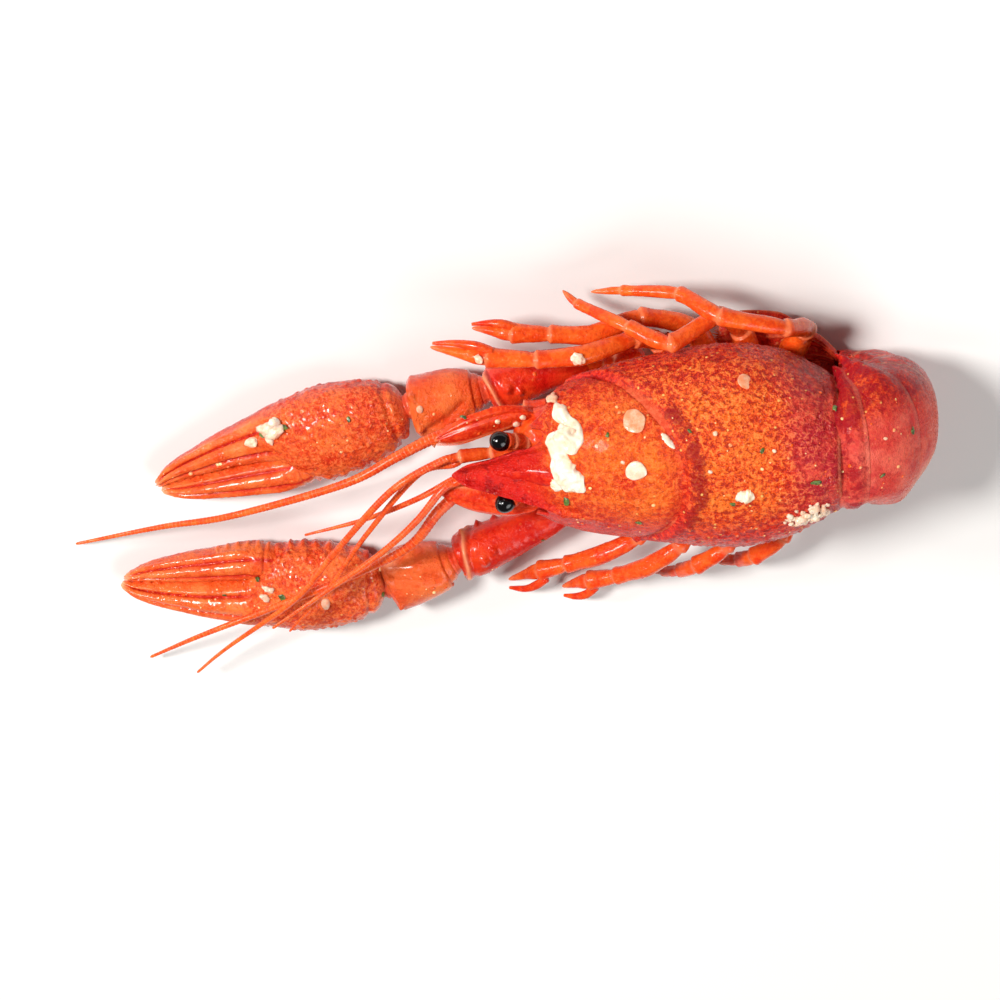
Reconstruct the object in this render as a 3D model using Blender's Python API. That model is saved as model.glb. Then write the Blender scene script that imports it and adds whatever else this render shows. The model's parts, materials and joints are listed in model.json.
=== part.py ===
"""A cooked crayfish, tail curled under, as it lies on a table. Blender 4.5, metres, +Z up.

The head points to -X and the animal's right side to +Y. Every piece is modelled in a working frame whose X
starts at the tip of the beak and whose Z starts on the table, in millimetres times MM. All pieces hang on one
empty, which at the end is moved so that the origin is at the bottom centre of the whole animal's box.
"""

import math

import bmesh
import bpy
from mathutils import Vector

CARAPACE_LENGTH = 0.046  # tip of the beak to the rear edge of the shell, along the back
MM = CARAPACE_LENGTH / 46  # sizes below are in millimetres on an animal of that length
GAP = 0.3  # clear space between neighbouring pieces
SIDES = {"right": 1, "left": -1}

# The shell over head and thorax, from the beak's tip back: (place, value).
SHELL_WIDTHS = [(0, 0.35), (5, 1.9), (9.6, 3.3), (11.4, 6.8), (16, 9.6), (24, 11.2), (34, 12.2), (40, 11.3),
                (44, 9.7), (46, 8.9)]
SHELL_TOPS = [(0, 17.7), (5, 19.0), (9.6, 20.6), (16, 22.9), (24, 25.0), (34, 26.8), (42, 27.2), (46, 26.8)]
SHELL_BOTTOMS = [(0, 17.1), (5, 17.9), (9.6, 18.9), (11.4, 13.0), (16, 9.6), (24, 8.6), (42, 8.6), (46, 10.5)]
SHELL_STATIONS = [0, 3, 6.5, 9.6, 11.4, 13.5, 16.5, 20, 24, 26.4, 27.4, 28.4, 32, 36, 40, 43.5, 46]
SHELL_WAIST = 0.34  # how far up the shell is widest, as a share of its height
NECK_GROOVE = {"place": 27.4, "depth": 0.5, "width": 0.7, "forward": 6.0, "reach": 9.0}
SHELL_SWEEP = 1.4  # how far the shell's sides reach back beyond the middle of its rear edge
SHELL_LIP = 0.62  # thickness of the shell's rear edge, open round the first ring of the tail
UNDERSIDE = {"low": 5.7, "high": 8.3, "widths": [(23, 3.6), (27, 5.4), (40, 6.2), (45, 5.2)]}

# The tail's back follows a half circle from the rear of the shell down to the table.
TAIL_RADIUS = 13.1
TAIL_CENTRE = Vector((46.8, 0, 12.9))
TAIL_ARCS = [10, 34, 37.5, 34.5, 32, 32]  # degrees taken by each of the six rings
TAIL_WIDTHS = [(0, 7.7), (19, 9.1), (40, 9.4), (90, 8.4), (140, 7.5), (180, 6.6)]  # (degrees, half width)
TAIL_DEPTHS = [(0, 10.4), (60, 10.0), (120, 8.4), (180, 6.0)]  # (degrees, back to belly)
TAIL_ARCH = 0.7  # how much of that depth the arch of the back takes up
TAIL_FLAPS = [1.0, 2.4, 2.2, 2.2, 2.0, 1.2]  # how far each ring's side flaps hang below its belly
FAN_ROOT = TAIL_CENTRE.x - GAP
FAN_TIP = 34.3

# Claws: the points that the limbs run between, and their profiles (share of the length, outward shift of
# the middle, half width, half thickness).
CLAWS = {
    "right": {"shoulder": (23.6, 7.3, 6.0), "arm": ((18.4, 8.4, 4.7), (5.4, 5.5, 4.5)),
              "wrist": ((4.8, 5.3, 4.4), (-4.4, 4.0, 4.1)), "tip": (-37.0, -4.6, 2.3)},
    "left": {"shoulder": (23.6, -7.3, 6.0), "arm": ((15.2, -10.9, 4.6), (-0.2, -17.2, 4.5)),
             "wrist": ((-0.8, -17.4, 4.4), (-9.2, -20.2, 4.1)), "tip": (-43.2, -17.2, 2.3)},
}
WRIST_GAP = 0.9  # between the wrist and the palm, which turn on each other
ARM_PROFILE = [(0, 0, 1.3, 1.4), (0.12, 0, 2.0, 2.1), (0.5, 0.2, 2.6, 2.8), (0.85, 0, 3.1, 3.3),
               (1, 0, 2.2, 2.6)]
WRIST_PROFILE = [(0, 0, 1.7, 1.9), (0.15, 0, 2.9, 3.0), (0.55, -0.3, 3.9, 3.6), (0.85, -0.3, 3.6, 3.4),
                 (1, 0, 1.7, 1.9)]
PALM_PROFILE = [(0, 0, 1.6, 1.9), (0.05, 0, 3.6, 3.2), (0.18, 0.1, 5.4, 4.0), (0.32, 0.2, 5.9, 4.15),
                (0.43, 0.5, 5.2, 3.8), (0.462, 2.0, 3.5, 3.3), (0.50, 2.1, 3.3, 3.1), (0.66, 2.1, 2.45, 2.5),
                (0.82, 1.75, 1.75, 1.9), (0.94, 1.25, 1.05, 1.25), (1, 0.8, 0.4, 0.5)]
FINGER_PROFILE = [(0.48, -3.3, 1.1, 1.5), (0.505, -3.3, 1.9, 2.2), (0.60, -2.85, 1.95, 2.2),
                  (0.76, -2.2, 1.55, 1.8), (0.90, -1.5, 1.1, 1.3), (0.97, -1.0, 0.6, 0.7)]

# Walking legs: the points of each route from the body out; the radii of those that end in a small pincer
# (1 and 2) and of those that end in a point (3 and 4), at the same points.
LEG_ROUTES = {
    "right_1": [(28.3, 6.6, 6.6), (26.8, 10.8, 7.0), (23.4, 12.7, 10.4), (17.2, 12.4, 13.6),
                (11.4, 12.6, 14.2), (5.6, 13.2, 13.6), (2.2, 13.8, 12.6), (-1.2, 14.4, 11.4)],
    "right_2": [(33.0, 6.6, 6.6), (31.0, 11.6, 5.4), (24.6, 14.2, 7.0), (18.4, 13.2, 9.2),
                (13.4, 13.8, 9.2), (8.8, 14.2, 8.8), (6.6, 14.6, 8.4), (4.0, 15.0, 7.8)],
    "right_3": [(37.6, 6.6, 6.6), (36.8, 11.4, 7.2), (33.8, 15.0, 11.0), (27.4, 13.5, 15.2),
                (22.8, 15.0, 12.2), (17.0, 16.6, 6.8), (15.4, 18.0, 5.4)],
    "right_4": [(42.2, 6.6, 6.6), (44.4, 11.6, 9.0), (41.4, 13.9, 14.2), (33.6, 16.4, 15.0),
                (29.2, 18.2, 10.8), (22.6, 17.8, 7.0), (18.8, 17.4, 5.4)],
    "left_1": [(28.3, -6.6, 6.6), (26.6, -11.4, 6.2), (22.2, -15.2, 7.4), (17.6, -17.4, 6.8),
               (13.4, -19.2, 4.8), (10.0, -20.6, 3.0), (8.2, -21.4, 2.0), (5.8, -22.4, 1.0)],
    "left_2": [(33.0, -6.6, 6.6), (31.2, -11.6, 6.8), (27.4, -16.0, 9.4), (23.4, -19.2, 7.6),
               (19.6, -21.4, 4.8), (16.2, -22.8, 2.6), (14.6, -23.4, 1.6), (12.6, -24.2, 0.7)],
    "left_3": [(37.6, -6.6, 6.6), (36.6, -11.8, 6.6), (33.2, -16.6, 9.6), (29.6, -19.4, 8.0),
               (27.6, -21.0, 5.6), (25.6, -22.2, 3.0), (23.8, -23.0, 0.45)],
    "left_4": [(42.2, -6.6, 6.6), (43.2, -11.4, 6.8), (40.4, -16.2, 9.0), (37.0, -19.2, 7.2),
               (35.2, -20.6, 4.8), (33.2, -21.6, 2.4), (31.4, -22.4, 0.45)],
}
PINCER_LEG_RADII = (1.6, 1.35, 1.1, 1.25, 1.05, 1.15, 0.65, 0.28)
POINTED_LEG_RADII = (1.6, 1.3, 1.05, 1.1, 0.85, 0.65, 0.3)
PINCER_FINGERS = {
    "right_1": [(4.6, 15.2, 13.8), (2.2, 15.7, 13.0), (-0.8, 15.7, 12.0)],
    "right_2": [(8.2, 16.0, 8.9), (6.4, 16.3, 8.6), (4.0, 16.3, 8.2)],
    "left_1": [(9.4, -22.4, 3.3), (7.8, -23.3, 2.5), (5.8, -23.9, 1.5)],
    "left_2": [(15.8, -24.6, 2.8), (14.4, -25.3, 2.1), (12.6, -25.8, 1.2)],
}

# Feelers: the thick base of the right one of each pair, then each one's own free run over the claws.
LONG_BASE = [(9.6, 4.7, 12.2), (5.5, 4.5, 12.4), (1.5, 3.9, 12.8)]
LONG_BASE_RADII = (1.5, 1.45, 1.15)
SHORT_BASE = [(9.8, 1.6, 15.2), (5.0, 1.55, 15.4), (1.2, 1.5, 15.6)]
SHORT_BASE_RADII = (0.95, 0.85, 0.7)
LONG_RUNS = {
    "right": [(-2.2, 3.0, 13.1), (-6.5, 1.2, 13.3), (-13.3, -2.2, 12.3), (-27.5, -6.8, 8.4), (-37, -9.0, 5.0),
              (-48.5, -12.0, 1.2)],
    "left": [(-2.0, -6.4, 13.6), (-6.0, -10.8, 13.4), (-14, -15.2, 11.4), (-24.5, -19.6, 9.5),
             (-34, -24.0, 6.4), (-41, -28.4, 2.2)],
}
SHORT_RUNS = {
    "right": [(-1.4, 1.1, 15.9), (-7.6, -2.4, 15.6), (-15.4, -11.0, 13.4), (-20.6, -17.2, 11.9),
              (-30.5, -25.4, 7.6), (-35, -30, 4.6)],
    "left": [(-1.2, -2.6, 15.7), (-4.6, -6.4, 15.6), (-9.5, -10.6, 15.2), (-16.5, -15.4, 14.3),
             (-24, -20.6, 12.9)],
}
FINE_RUNS = {
    "right": [(0.4, 0.2, 14.8), (-4, -0.9, 14.4), (-11.0, -8.6, 13.5), (-16.2, -15.4, 13.0),
              (-22.0, -21.6, 12.2)],
    "left": [(0.2, -2.0, 14.2), (-4.4, -4.6, 13.2), (-11, -7.6, 11.2), (-19, -10.4, 8.2)],
}

COLOURS = {  # name: (colour, roughness)
    "shell_orange": ((0.76, 0.115, 0.028), 0.32),
    "shell_red": ((0.60, 0.040, 0.015), 0.32),
    "shell_pink": ((0.74, 0.110, 0.070), 0.30),
    "leg_red": ((0.68, 0.060, 0.018), 0.34),
    "belly_cream": ((0.72, 0.30, 0.14), 0.45),
    "eye_black": ((0.010, 0.008, 0.010), 0.12),
}


def clear_scene():
    for thing in list(bpy.data.objects):
        bpy.data.objects.remove(thing)


def material(name):
    """The named finish, made once."""
    made = bpy.data.materials.get(name)
    if made:
        return made
    colour, roughness = COLOURS[name]
    made = bpy.data.materials.new(name)
    made.use_nodes = True
    shader = made.node_tree.nodes["Principled BSDF"]
    shader.inputs["Base Color"].default_value = (*colour, 1)
    shader.inputs["Roughness"].default_value = roughness
    shader.inputs["Metallic"].default_value = 0
    return made


def along(stations, place):
    """The value at a place on a smooth curve through (place, value) stations, with no overshoot."""
    if place <= stations[0][0]:
        return stations[0][1]
    if place >= stations[-1][0]:
        return stations[-1][1]
    i = max(k for k, (start, _) in enumerate(stations[:-1]) if start <= place)
    slopes = [(b[1] - a[1]) / (b[0] - a[0]) for a, b in zip(stations, stations[1:])]

    def tangent(k):
        if k in (0, len(stations) - 1):
            return slopes[min(k, len(slopes) - 1)]
        before, after = slopes[k - 1], slopes[k]
        return 0 if before * after <= 0 else 2 * before * after / (before + after)

    (x0, y0), (x1, y1) = stations[i], stations[i + 1]
    step = x1 - x0
    t = (place - x0) / step
    blend = t * t * (3 - 2 * t)
    bend = tangent(i) * t * (1 - t) ** 2 - tangent(i + 1) * t * t * (1 - t)
    return y0 + (y1 - y0) * blend + step * bend


def rounded(angle, squareness):
    """(sideways, upward) on a unit superellipse: squareness 1 is a circle, less is squarer."""
    side, up = math.sin(angle), math.cos(angle)
    return math.copysign(abs(side) ** squareness, side), math.copysign(abs(up) ** squareness, up)


def on_table(point):
    """The point, or the table's point under it where it would be lower."""
    return Vector((point[0], point[1], max(point[2], 0)))


def mirrored(points, side):
    """The right side's points for this side of the body."""
    return [(x, side * y, *rest) for x, y, *rest in points]


def finish(name, data, finish_name, frame):
    """Puts the data in the scene as one named piece of the animal."""
    made = bpy.data.objects.new(name, data)
    bpy.context.scene.collection.objects.link(made)
    made.parent = frame
    data.materials.clear()
    data.materials.append(material(finish_name))
    return made


def loft(name, rings, finish_name, frame):
    """A closed solid through rings of points, each ring with the same number of points."""
    shape = bmesh.new()
    loops = [[shape.verts.new(Vector(point) * MM) for point in ring] for ring in rings]
    count = len(loops[0])
    for ring, following in zip(loops, loops[1:]):
        for i in range(count):
            j = (i + 1) % count
            shape.faces.new((ring[i], ring[j], following[j], following[i]))
    for cap in (loops[0], loops[-1]):
        shape.faces.new(cap)
    bmesh.ops.recalc_face_normals(shape, faces=shape.faces)
    bmesh.ops.triangulate(shape, faces=shape.faces)
    mesh = bpy.data.meshes.new(name)
    shape.to_mesh(mesh)
    shape.free()
    mesh.shade_smooth()
    mesh.set_sharp_from_angle(angle=math.radians(50))
    return finish(name, mesh, finish_name, frame)


def smooth_route(points, radii, steps):
    """Points and radii on a smooth curve through the given ones, steps to each stretch (Catmull-Rom)."""
    points = [Vector(point) for point in points]
    ends = [2 * points[0] - points[1], *points, 2 * points[-1] - points[-2]]
    route, sizes = [], []
    for i in range(len(points) - 1):
        a, b, c, d = ends[i : i + 4]
        for k in range(steps):
            t = k / steps
            square = (2 * a - 5 * b + 4 * c - d) * t**2
            cube = (3 * b - a - 3 * c + d) * t**3
            route.append(0.5 * (2 * b + (c - a) * t + square + cube))
            sizes.append(radii[i] + (radii[i + 1] - radii[i]) * t * t * (3 - 2 * t))
    return route + [points[-1]], sizes + [radii[-1]]


def tube(name, points, radii, finish_name, frame, steps=2):
    """A round limb or feeler through the points: a bevelled curve with filled ends."""
    route, sizes = smooth_route(points, radii, steps)
    line = bpy.data.curves.new(name, "CURVE")
    line.dimensions = "3D"
    line.bevel_depth = MM
    line.bevel_resolution = 2
    line.use_fill_caps = True
    spline = line.splines.new("POLY")
    spline.points.add(len(route) - 1)
    for dot, place, size in zip(spline.points, route, sizes):
        dot.co = (*(place * MM), 1)
        dot.radius = size
    return finish(name, line, finish_name, frame)


def taper(first, last, count):
    """Radii that shrink evenly from first to last."""
    return [first + (last - first) * i / (count - 1) for i in range(count)]


def blade(name, stations, finish_name, frame, count=12):
    """A flat blade across X through (x, y, z, half width, half thickness) stations."""
    rings = []
    for x, y, z, half, thick in stations:
        ring = []
        for i in range(count):
            side, up = rounded(2 * math.pi * i / count, 0.85)
            ring.append((x, y + half * side, z + thick * up))
        rings.append(ring)
    loft(name, rings, finish_name, frame)


# ---- head and thorax ----


def shell_ring(place, count=22):
    """The shell's outline at a place on its back: a tall arch over a flatter, squarer underside.

    Down the sides the outline runs forward round the neck groove, and back again at the rear edge.
    """
    from_groove = place - NECK_GROOVE["place"]
    dip = NECK_GROOVE["depth"] * math.exp(-((from_groove / NECK_GROOVE["width"]) ** 2))
    forward = NECK_GROOVE["forward"] * math.exp(-((from_groove / NECK_GROOVE["reach"]) ** 2))
    rear, cheek = max(0, (place - 34) / 12), max(0, 1 - abs(place - 13.5) / 8)
    ring = []
    for i in range(count):
        angle = 2 * math.pi * i / count
        side, up = rounded(angle, 0.95 if math.cos(angle) >= 0 else 0.62)
        under = min(up, 0) ** 2
        x = place + rear**2 * (SHELL_SWEEP * side**2 - 3 * under) + 1.2 * cheek * under
        x -= forward * (1 - max(up, 0)) ** 1.5
        width, top, bottom = (along(table, x) for table in (SHELL_WIDTHS, SHELL_TOPS, SHELL_BOTTOMS))
        waist = bottom + SHELL_WAIST * (top - bottom)
        reach = (top - waist - dip) if up >= 0 else (waist - bottom)
        ring.append((x, (width - dip) * side, waist + reach * up))
    return ring


def make_shell(frame):
    """The shell, closed inside; its rear edge stands out as a lip over the tail's first ring."""
    rings = [shell_ring(place) for place in SHELL_STATIONS]
    rear = SHELL_STATIONS[-1]
    middle = sum(z for _, _, z in rings[-1]) / len(rings[-1])
    floor = []
    for x, y, z in rings[-1]:
        inward = Vector((0, -y, middle - z)).normalized() * SHELL_LIP
        floor.append((min(x, rear) - SHELL_LIP, y + inward.y, z + inward.z))
    loft("carapace", [*rings, floor], "shell_orange", frame)


def make_underside(frame):
    """The plates between the legs, from the mouth to the tail."""
    middle = (UNDERSIDE["low"] + UNDERSIDE["high"]) / 2
    thick = (UNDERSIDE["high"] - UNDERSIDE["low"]) / 2
    places = (23, 25, 29, 34, 39, 43, 45)
    stations = [(place, 0, middle, along(UNDERSIDE["widths"], place), thick) for place in places]
    blade("underside", stations, "belly_cream", frame)


# ---- tail ----


def tail_point(degrees, back, side, shift):
    """The point so many degrees round the tail, so far in from its back, moved along the tail by shift."""
    turn = math.radians(degrees)
    outward = Vector((math.sin(turn), 0, math.cos(turn)))
    onward = Vector((math.cos(turn), 0, -math.sin(turn)))
    return on_table(TAIL_CENTRE + outward * (TAIL_RADIUS - back) + onward * shift + Vector((0, side, 0)))


def tail_ring(degrees, tuck, shift, flap, count=20):
    """The tail's outline: a broad arch for the back, side flaps and a nearly flat belly between them."""
    width, depth = along(TAIL_WIDTHS, degrees) - tuck, along(TAIL_DEPTHS, degrees)
    arch = TAIL_ARCH * depth
    ring = []
    for i in range(count):
        side, up = rounded(2 * math.pi * i / count, 0.86 if abs(i - count / 2) > count / 4 else 0.6)
        back = tuck + arch * (1 - up) if up >= 0 else arch + (depth - arch) * -up
        if up < -0.5:
            back += flap if abs(side) > 0.7 else -0.8
        ring.append(tail_point(degrees, back, width * side, shift))
    return ring


def make_tail_rings(frame):
    """Six rings; each tucks its front edge under the one before, and the first under the shell's lip."""
    start = 0
    for number, (arc, flap) in enumerate(zip(TAIL_ARCS, TAIL_FLAPS), 1):
        end = start + arc
        rings = [
            tail_ring(start, 0.35, GAP / 2 if number > 1 else -2.5 * GAP, 0),
            tail_ring(start + 0.3 * arc, 0, 0, 0.6 * flap),
            tail_ring(start + 0.75 * arc, 0, 0, flap),
            tail_ring(end, 0.15, -GAP / 2, 0),
        ]
        loft(f"tail_ring_{number}", rings, "shell_pink" if number <= 3 else "shell_red", frame)
        start = end


def make_tail_fan(frame):
    """The middle blade and two blades a side, folded forward under the body."""
    middle = [(FAN_ROOT, 0, 1.75, 4.7, 1.6), (43.4, 0, 1.2, 4.7, 1.0), (39.5, 0, 1.0, 4.3, 0.8),
              (36.3, 0, 0.9, 3.7, 0.62), (35.2, 0, 0.9, 2.6, 0.45)]
    inner = [(FAN_ROOT, 6.3, 3.3, 1.1, 0.7), (44.3, 6.1, 2.9, 1.6, 0.5), (41.5, 5.7, 2.65, 2.9, 0.42),
             (37.5, 5.2, 2.5, 3.2, 0.4), (35.0, 4.9, 2.4, 2.3, 0.32), (FAN_TIP, 4.8, 2.4, 1.2, 0.25)]
    outer = [(FAN_ROOT, 8.6, 3.6, 0.9, 0.6), (44.3, 8.9, 3.75, 1.5, 0.45), (41.5, 9.1, 3.85, 2.9, 0.38),
             (37.5, 9.2, 3.8, 3.3, 0.36), (35.2, 9.2, 3.7, 2.5, 0.32), (FAN_TIP, 9.2, 3.7, 1.3, 0.25)]
    blade("telson", middle, "shell_red", frame)
    for word, side in SIDES.items():
        blade(f"tail_blade_inner_{word}", mirrored(inner, side), "shell_red", frame)
        blade(f"tail_blade_outer_{word}", mirrored(outer, side), "shell_red", frame)


# ---- eyes, feelers and mouthparts ----


def make_eyes(frame):
    """A short stalk that swells into the ball."""
    points = [(9.2, 3.0, 16.3), (7.8, 3.6, 17.2), (6.5, 4.2, 18.1), (5.7, 4.5, 18.6), (5.0, 4.7, 18.9)]
    for word, side in SIDES.items():
        tube(f"eye_{word}", mirrored(points, side), (0.6, 0.85, 1.3, 1.25, 0.55), "eye_black", frame)


def make_feelers(frame):
    """The two long feelers, two short ones each with a finer branch, and the scales beside them."""
    scale = [(9.3, 6.1, 15.0, 0.9, 0.45), (6.5, 5.7, 15.0, 1.5, 0.4), (3.0, 4.8, 14.95, 1.6, 0.35),
             (0.2, 4.0, 14.8, 1.1, 0.3), (-1.6, 3.5, 14.7, 0.35, 0.2)]
    for word, side in SIDES.items():
        long_run, short_run, fine_run = LONG_RUNS[word], SHORT_RUNS[word], FINE_RUNS[word]
        long_radii = [*LONG_BASE_RADII, 0.75, *taper(0.48, 0.2, len(long_run) - 1)]
        short_radii = [*SHORT_BASE_RADII, *taper(0.42, 0.18, len(short_run))]
        fine_radii = taper(0.4, 0.16, len(fine_run))
        tube(f"feeler_long_{word}", mirrored(LONG_BASE, side) + long_run, long_radii, "leg_red", frame)
        tube(f"feeler_short_{word}", mirrored(SHORT_BASE, side) + short_run, short_radii, "leg_red", frame)
        tube(f"feeler_fine_{word}", fine_run, fine_radii, "leg_red", frame)
        blade(f"feeler_scale_{word}", mirrored(scale, side), "shell_red", frame, count=10)


def make_mouthparts(frame):
    """The pair of leg-like outer jaws that close the mouth from below."""
    points = [(22.2, 2.3, 6.3), (17.5, 2.6, 6.6), (13.2, 2.7, 7.6), (10.2, 2.2, 9.6), (9.2, 1.8, 11.2)]
    for word, side in SIDES.items():
        tube(f"jaw_leg_{word}", mirrored(points, side), (1.6, 1.55, 1.2, 0.9, 0.5), "leg_red", frame)


# ---- claws ----


def limb(name, start, end, profile, side, finish_name, frame, count=14):
    """One piece of a claw, its profile carried from start to end; what would sink into the table lies flat."""
    start, end = Vector(start), Vector(end)
    forward = (end - start).normalized()
    across = Vector((forward.y, -forward.x, 0)).normalized()  # towards the animal's right
    upward = across.cross(forward)
    rings = []
    for place, outward, half, thick in profile:
        middle = start.lerp(end, place) + across * side * outward
        ring = []
        for i in range(count):
            sideways, up = rounded(2 * math.pi * i / count, 0.9)
            ring.append(on_table(middle + across * half * sideways + upward * thick * up))
        rings.append(ring)
    loft(name, rings, finish_name, frame)


def make_claws(frame):
    """Base, arm, wrist, palm with its fixed finger, and the movable finger on the inner side."""
    for word, side in SIDES.items():
        claw = CLAWS[word]
        elbow_back, elbow = claw["arm"]
        shoulder = [claw["shoulder"], (21.8, side * 9.0, 5.2), (elbow_back[0] + 1.6, *elbow_back[1:])]
        tube(f"claw_{word}_base", shoulder, (1.9, 2.0, 1.5), "leg_red", frame, steps=3)
        limb(f"claw_{word}_arm", elbow_back, elbow, ARM_PROFILE, side, "leg_red", frame)
        limb(f"claw_{word}_wrist", *claw["wrist"], WRIST_PROFILE, side, "shell_orange", frame)
        wrist, tip = Vector(claw["wrist"][1]), Vector(claw["tip"])
        palm = wrist + (tip - wrist).normalized() * WRIST_GAP
        limb(f"claw_{word}_palm", palm, tip, PALM_PROFILE, side, "shell_orange", frame, count=16)
        limb(f"claw_{word}_finger", palm, tip, FINGER_PROFILE, side, "shell_orange", frame, count=12)


# ---- walking legs ----


def make_legs(frame):
    """Four legs a side, folded forward along the body."""
    for name, points in LEG_ROUTES.items():
        radii = PINCER_LEG_RADII if name in PINCER_FINGERS else POINTED_LEG_RADII
        tube(f"leg_{name}", points, radii, "leg_red", frame)
    for name, points in PINCER_FINGERS.items():
        tube(f"leg_{name}_pincer", points, (0.5, 0.45, 0.2), "leg_red", frame)


def centre_on_origin(frame):
    """Moves the animal so that the origin is at the bottom centre of the box round it."""
    bpy.context.view_layer.update()
    graph = bpy.context.evaluated_depsgraph_get()
    meshes = [piece.evaluated_get(graph).to_mesh() for piece in frame.children]
    corners = [vertex.co.copy() for mesh in meshes for vertex in mesh.vertices]
    low = Vector(min(corner[k] for corner in corners) for k in range(3))
    high = Vector(max(corner[k] for corner in corners) for k in range(3))
    frame.location = (-(low.x + high.x) / 2, -(low.y + high.y) / 2, -low.z)


def main():
    clear_scene()
    frame = bpy.data.objects.new("crayfish_frame", None)
    bpy.context.scene.collection.objects.link(frame)
    make_shell(frame)
    make_underside(frame)
    make_tail_rings(frame)
    make_tail_fan(frame)
    make_eyes(frame)
    make_feelers(frame)
    make_mouthparts(frame)
    make_claws(frame)
    make_legs(frame)
    centre_on_origin(frame)


main()
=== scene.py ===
# A boiled crayfish in butter and garlic, its tail curled under: fine shells, finishes and toppings round
# the CAD frame.
import json
import math

import bpy
import numpy as np
from mathutils import Matrix, Vector
from mathutils.bvhtree import BVHTree

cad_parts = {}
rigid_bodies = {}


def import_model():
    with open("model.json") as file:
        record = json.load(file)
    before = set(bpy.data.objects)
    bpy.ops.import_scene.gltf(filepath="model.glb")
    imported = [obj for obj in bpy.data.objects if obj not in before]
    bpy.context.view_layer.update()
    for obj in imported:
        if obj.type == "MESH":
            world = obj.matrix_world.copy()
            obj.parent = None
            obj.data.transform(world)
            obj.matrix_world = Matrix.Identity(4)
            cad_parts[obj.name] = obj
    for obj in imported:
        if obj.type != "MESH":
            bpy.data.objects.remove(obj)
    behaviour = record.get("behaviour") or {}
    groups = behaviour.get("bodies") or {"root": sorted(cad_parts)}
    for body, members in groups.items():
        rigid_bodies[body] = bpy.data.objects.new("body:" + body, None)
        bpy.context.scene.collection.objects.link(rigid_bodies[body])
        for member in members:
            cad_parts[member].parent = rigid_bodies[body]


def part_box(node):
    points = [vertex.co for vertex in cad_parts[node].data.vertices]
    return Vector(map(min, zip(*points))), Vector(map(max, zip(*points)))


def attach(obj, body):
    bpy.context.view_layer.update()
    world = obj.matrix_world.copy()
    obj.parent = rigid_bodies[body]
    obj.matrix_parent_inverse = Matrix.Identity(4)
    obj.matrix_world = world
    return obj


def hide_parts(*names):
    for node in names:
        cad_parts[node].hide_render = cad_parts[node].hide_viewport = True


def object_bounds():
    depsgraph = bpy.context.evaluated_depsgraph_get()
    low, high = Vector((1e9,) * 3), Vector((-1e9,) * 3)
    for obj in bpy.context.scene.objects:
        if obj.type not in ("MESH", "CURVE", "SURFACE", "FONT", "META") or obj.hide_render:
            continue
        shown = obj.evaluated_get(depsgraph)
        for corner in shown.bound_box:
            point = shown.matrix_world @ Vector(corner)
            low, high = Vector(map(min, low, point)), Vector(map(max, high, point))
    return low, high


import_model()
cadBox = [list(corner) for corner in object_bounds()]

# Shapes are worked out in millimetres: x from the tip of the beak towards the tail, y to the animal's
# right, z up from the table. The beak and the table are where the CAD has them.
mm = 0.001
shellLow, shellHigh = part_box("carapace")
workOrigin = np.array([shellLow[0], (shellLow[1] + shellHigh[1]) / 2, cadBox[0][2]])
sides = {"right": 1, "left": -1}
print("frame loaded, beak at", [round(float(v), 4) for v in workOrigin])


# numbers that vary along or over a surface

def curve(table, where):
    # a smooth line through (place, value) pairs that never overshoots them: cubic, with harmonic-mean slopes
    xs, ys = (np.array(column, float) for column in zip(*table))
    where = np.clip(np.asarray(where, float), xs[0], xs[-1])
    step = np.diff(xs)
    slope = np.diff(ys) / step
    total = slope[:-1] + slope[1:]
    both = slope[:-1] * slope[1:]
    inner = np.where(both > 0, 2 * both / np.where(total == 0, 1, total), 0)
    tangent = np.concatenate([slope[:1], inner, slope[-1:]])
    i = np.clip(np.searchsorted(xs, where, side="right") - 1, 0, len(step) - 1)
    t = (where - xs[i]) / step[i]
    rise = ys[i] + (ys[i + 1] - ys[i]) * t * t * (3 - 2 * t)
    return rise + step[i] * (tangent[i] * t * (1 - t) ** 2 - tangent[i + 1] * t * t * (1 - t))


def curves(rows, where):
    # a smooth line for each column after the first, which gives the places
    return [curve([(row[0], row[k]) for row in rows], where) for k in range(1, len(rows[0]))]


def evenCurves(rows, where):
    # the same through rows that stand at even steps from 0 to 1
    return curves([(share, *row) for share, row in zip(np.linspace(0, 1, len(rows)), rows)], where)


def fade(where, start, end):
    # 0 before start, 1 after end, smooth between; start may be the larger one
    t = np.clip((where - start) / (end - start), 0, 1)
    return t * t * (3 - 2 * t)


def hump(where, middle, width):
    # a bell of height 1
    return np.exp(-(((where - middle) / width) ** 2))


def teeth(where, count, sharpness, shift=0):
    # humps in a row, count of them from 0 to 1: |sin(pi * count * where + shift)| to the power of sharpness
    return np.abs(np.sin(math.pi * count * where + shift)) ** sharpness


def power(base, exponent):
    # a power that keeps the sign
    return np.sign(base) * np.abs(base) ** exponent


def bounded(values):
    # nothing under 0 or over 1
    return np.clip(values, 0, 1)


def at(*parts):
    # points from their x, y and z, each a number or an array
    return np.stack(np.broadcast_arrays(*parts), axis=-1)


def superellipse(turn, exponent):
    # sine and cosine to a power: squarer than a circle below 1
    return power(np.sin(turn), exponent), power(np.cos(turn), exponent)


def cellNumber(cell, salt):
    # a repeatable number from 0 to 1 for each whole-numbered cell
    mixed = cell[..., 0] * 12.9898 + cell[..., 1] * 78.233 + cell[..., 2] * 37.719 + salt * 53.9
    return np.modf(np.abs(np.sin(mixed)) * 43758.5453)[0]


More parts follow.
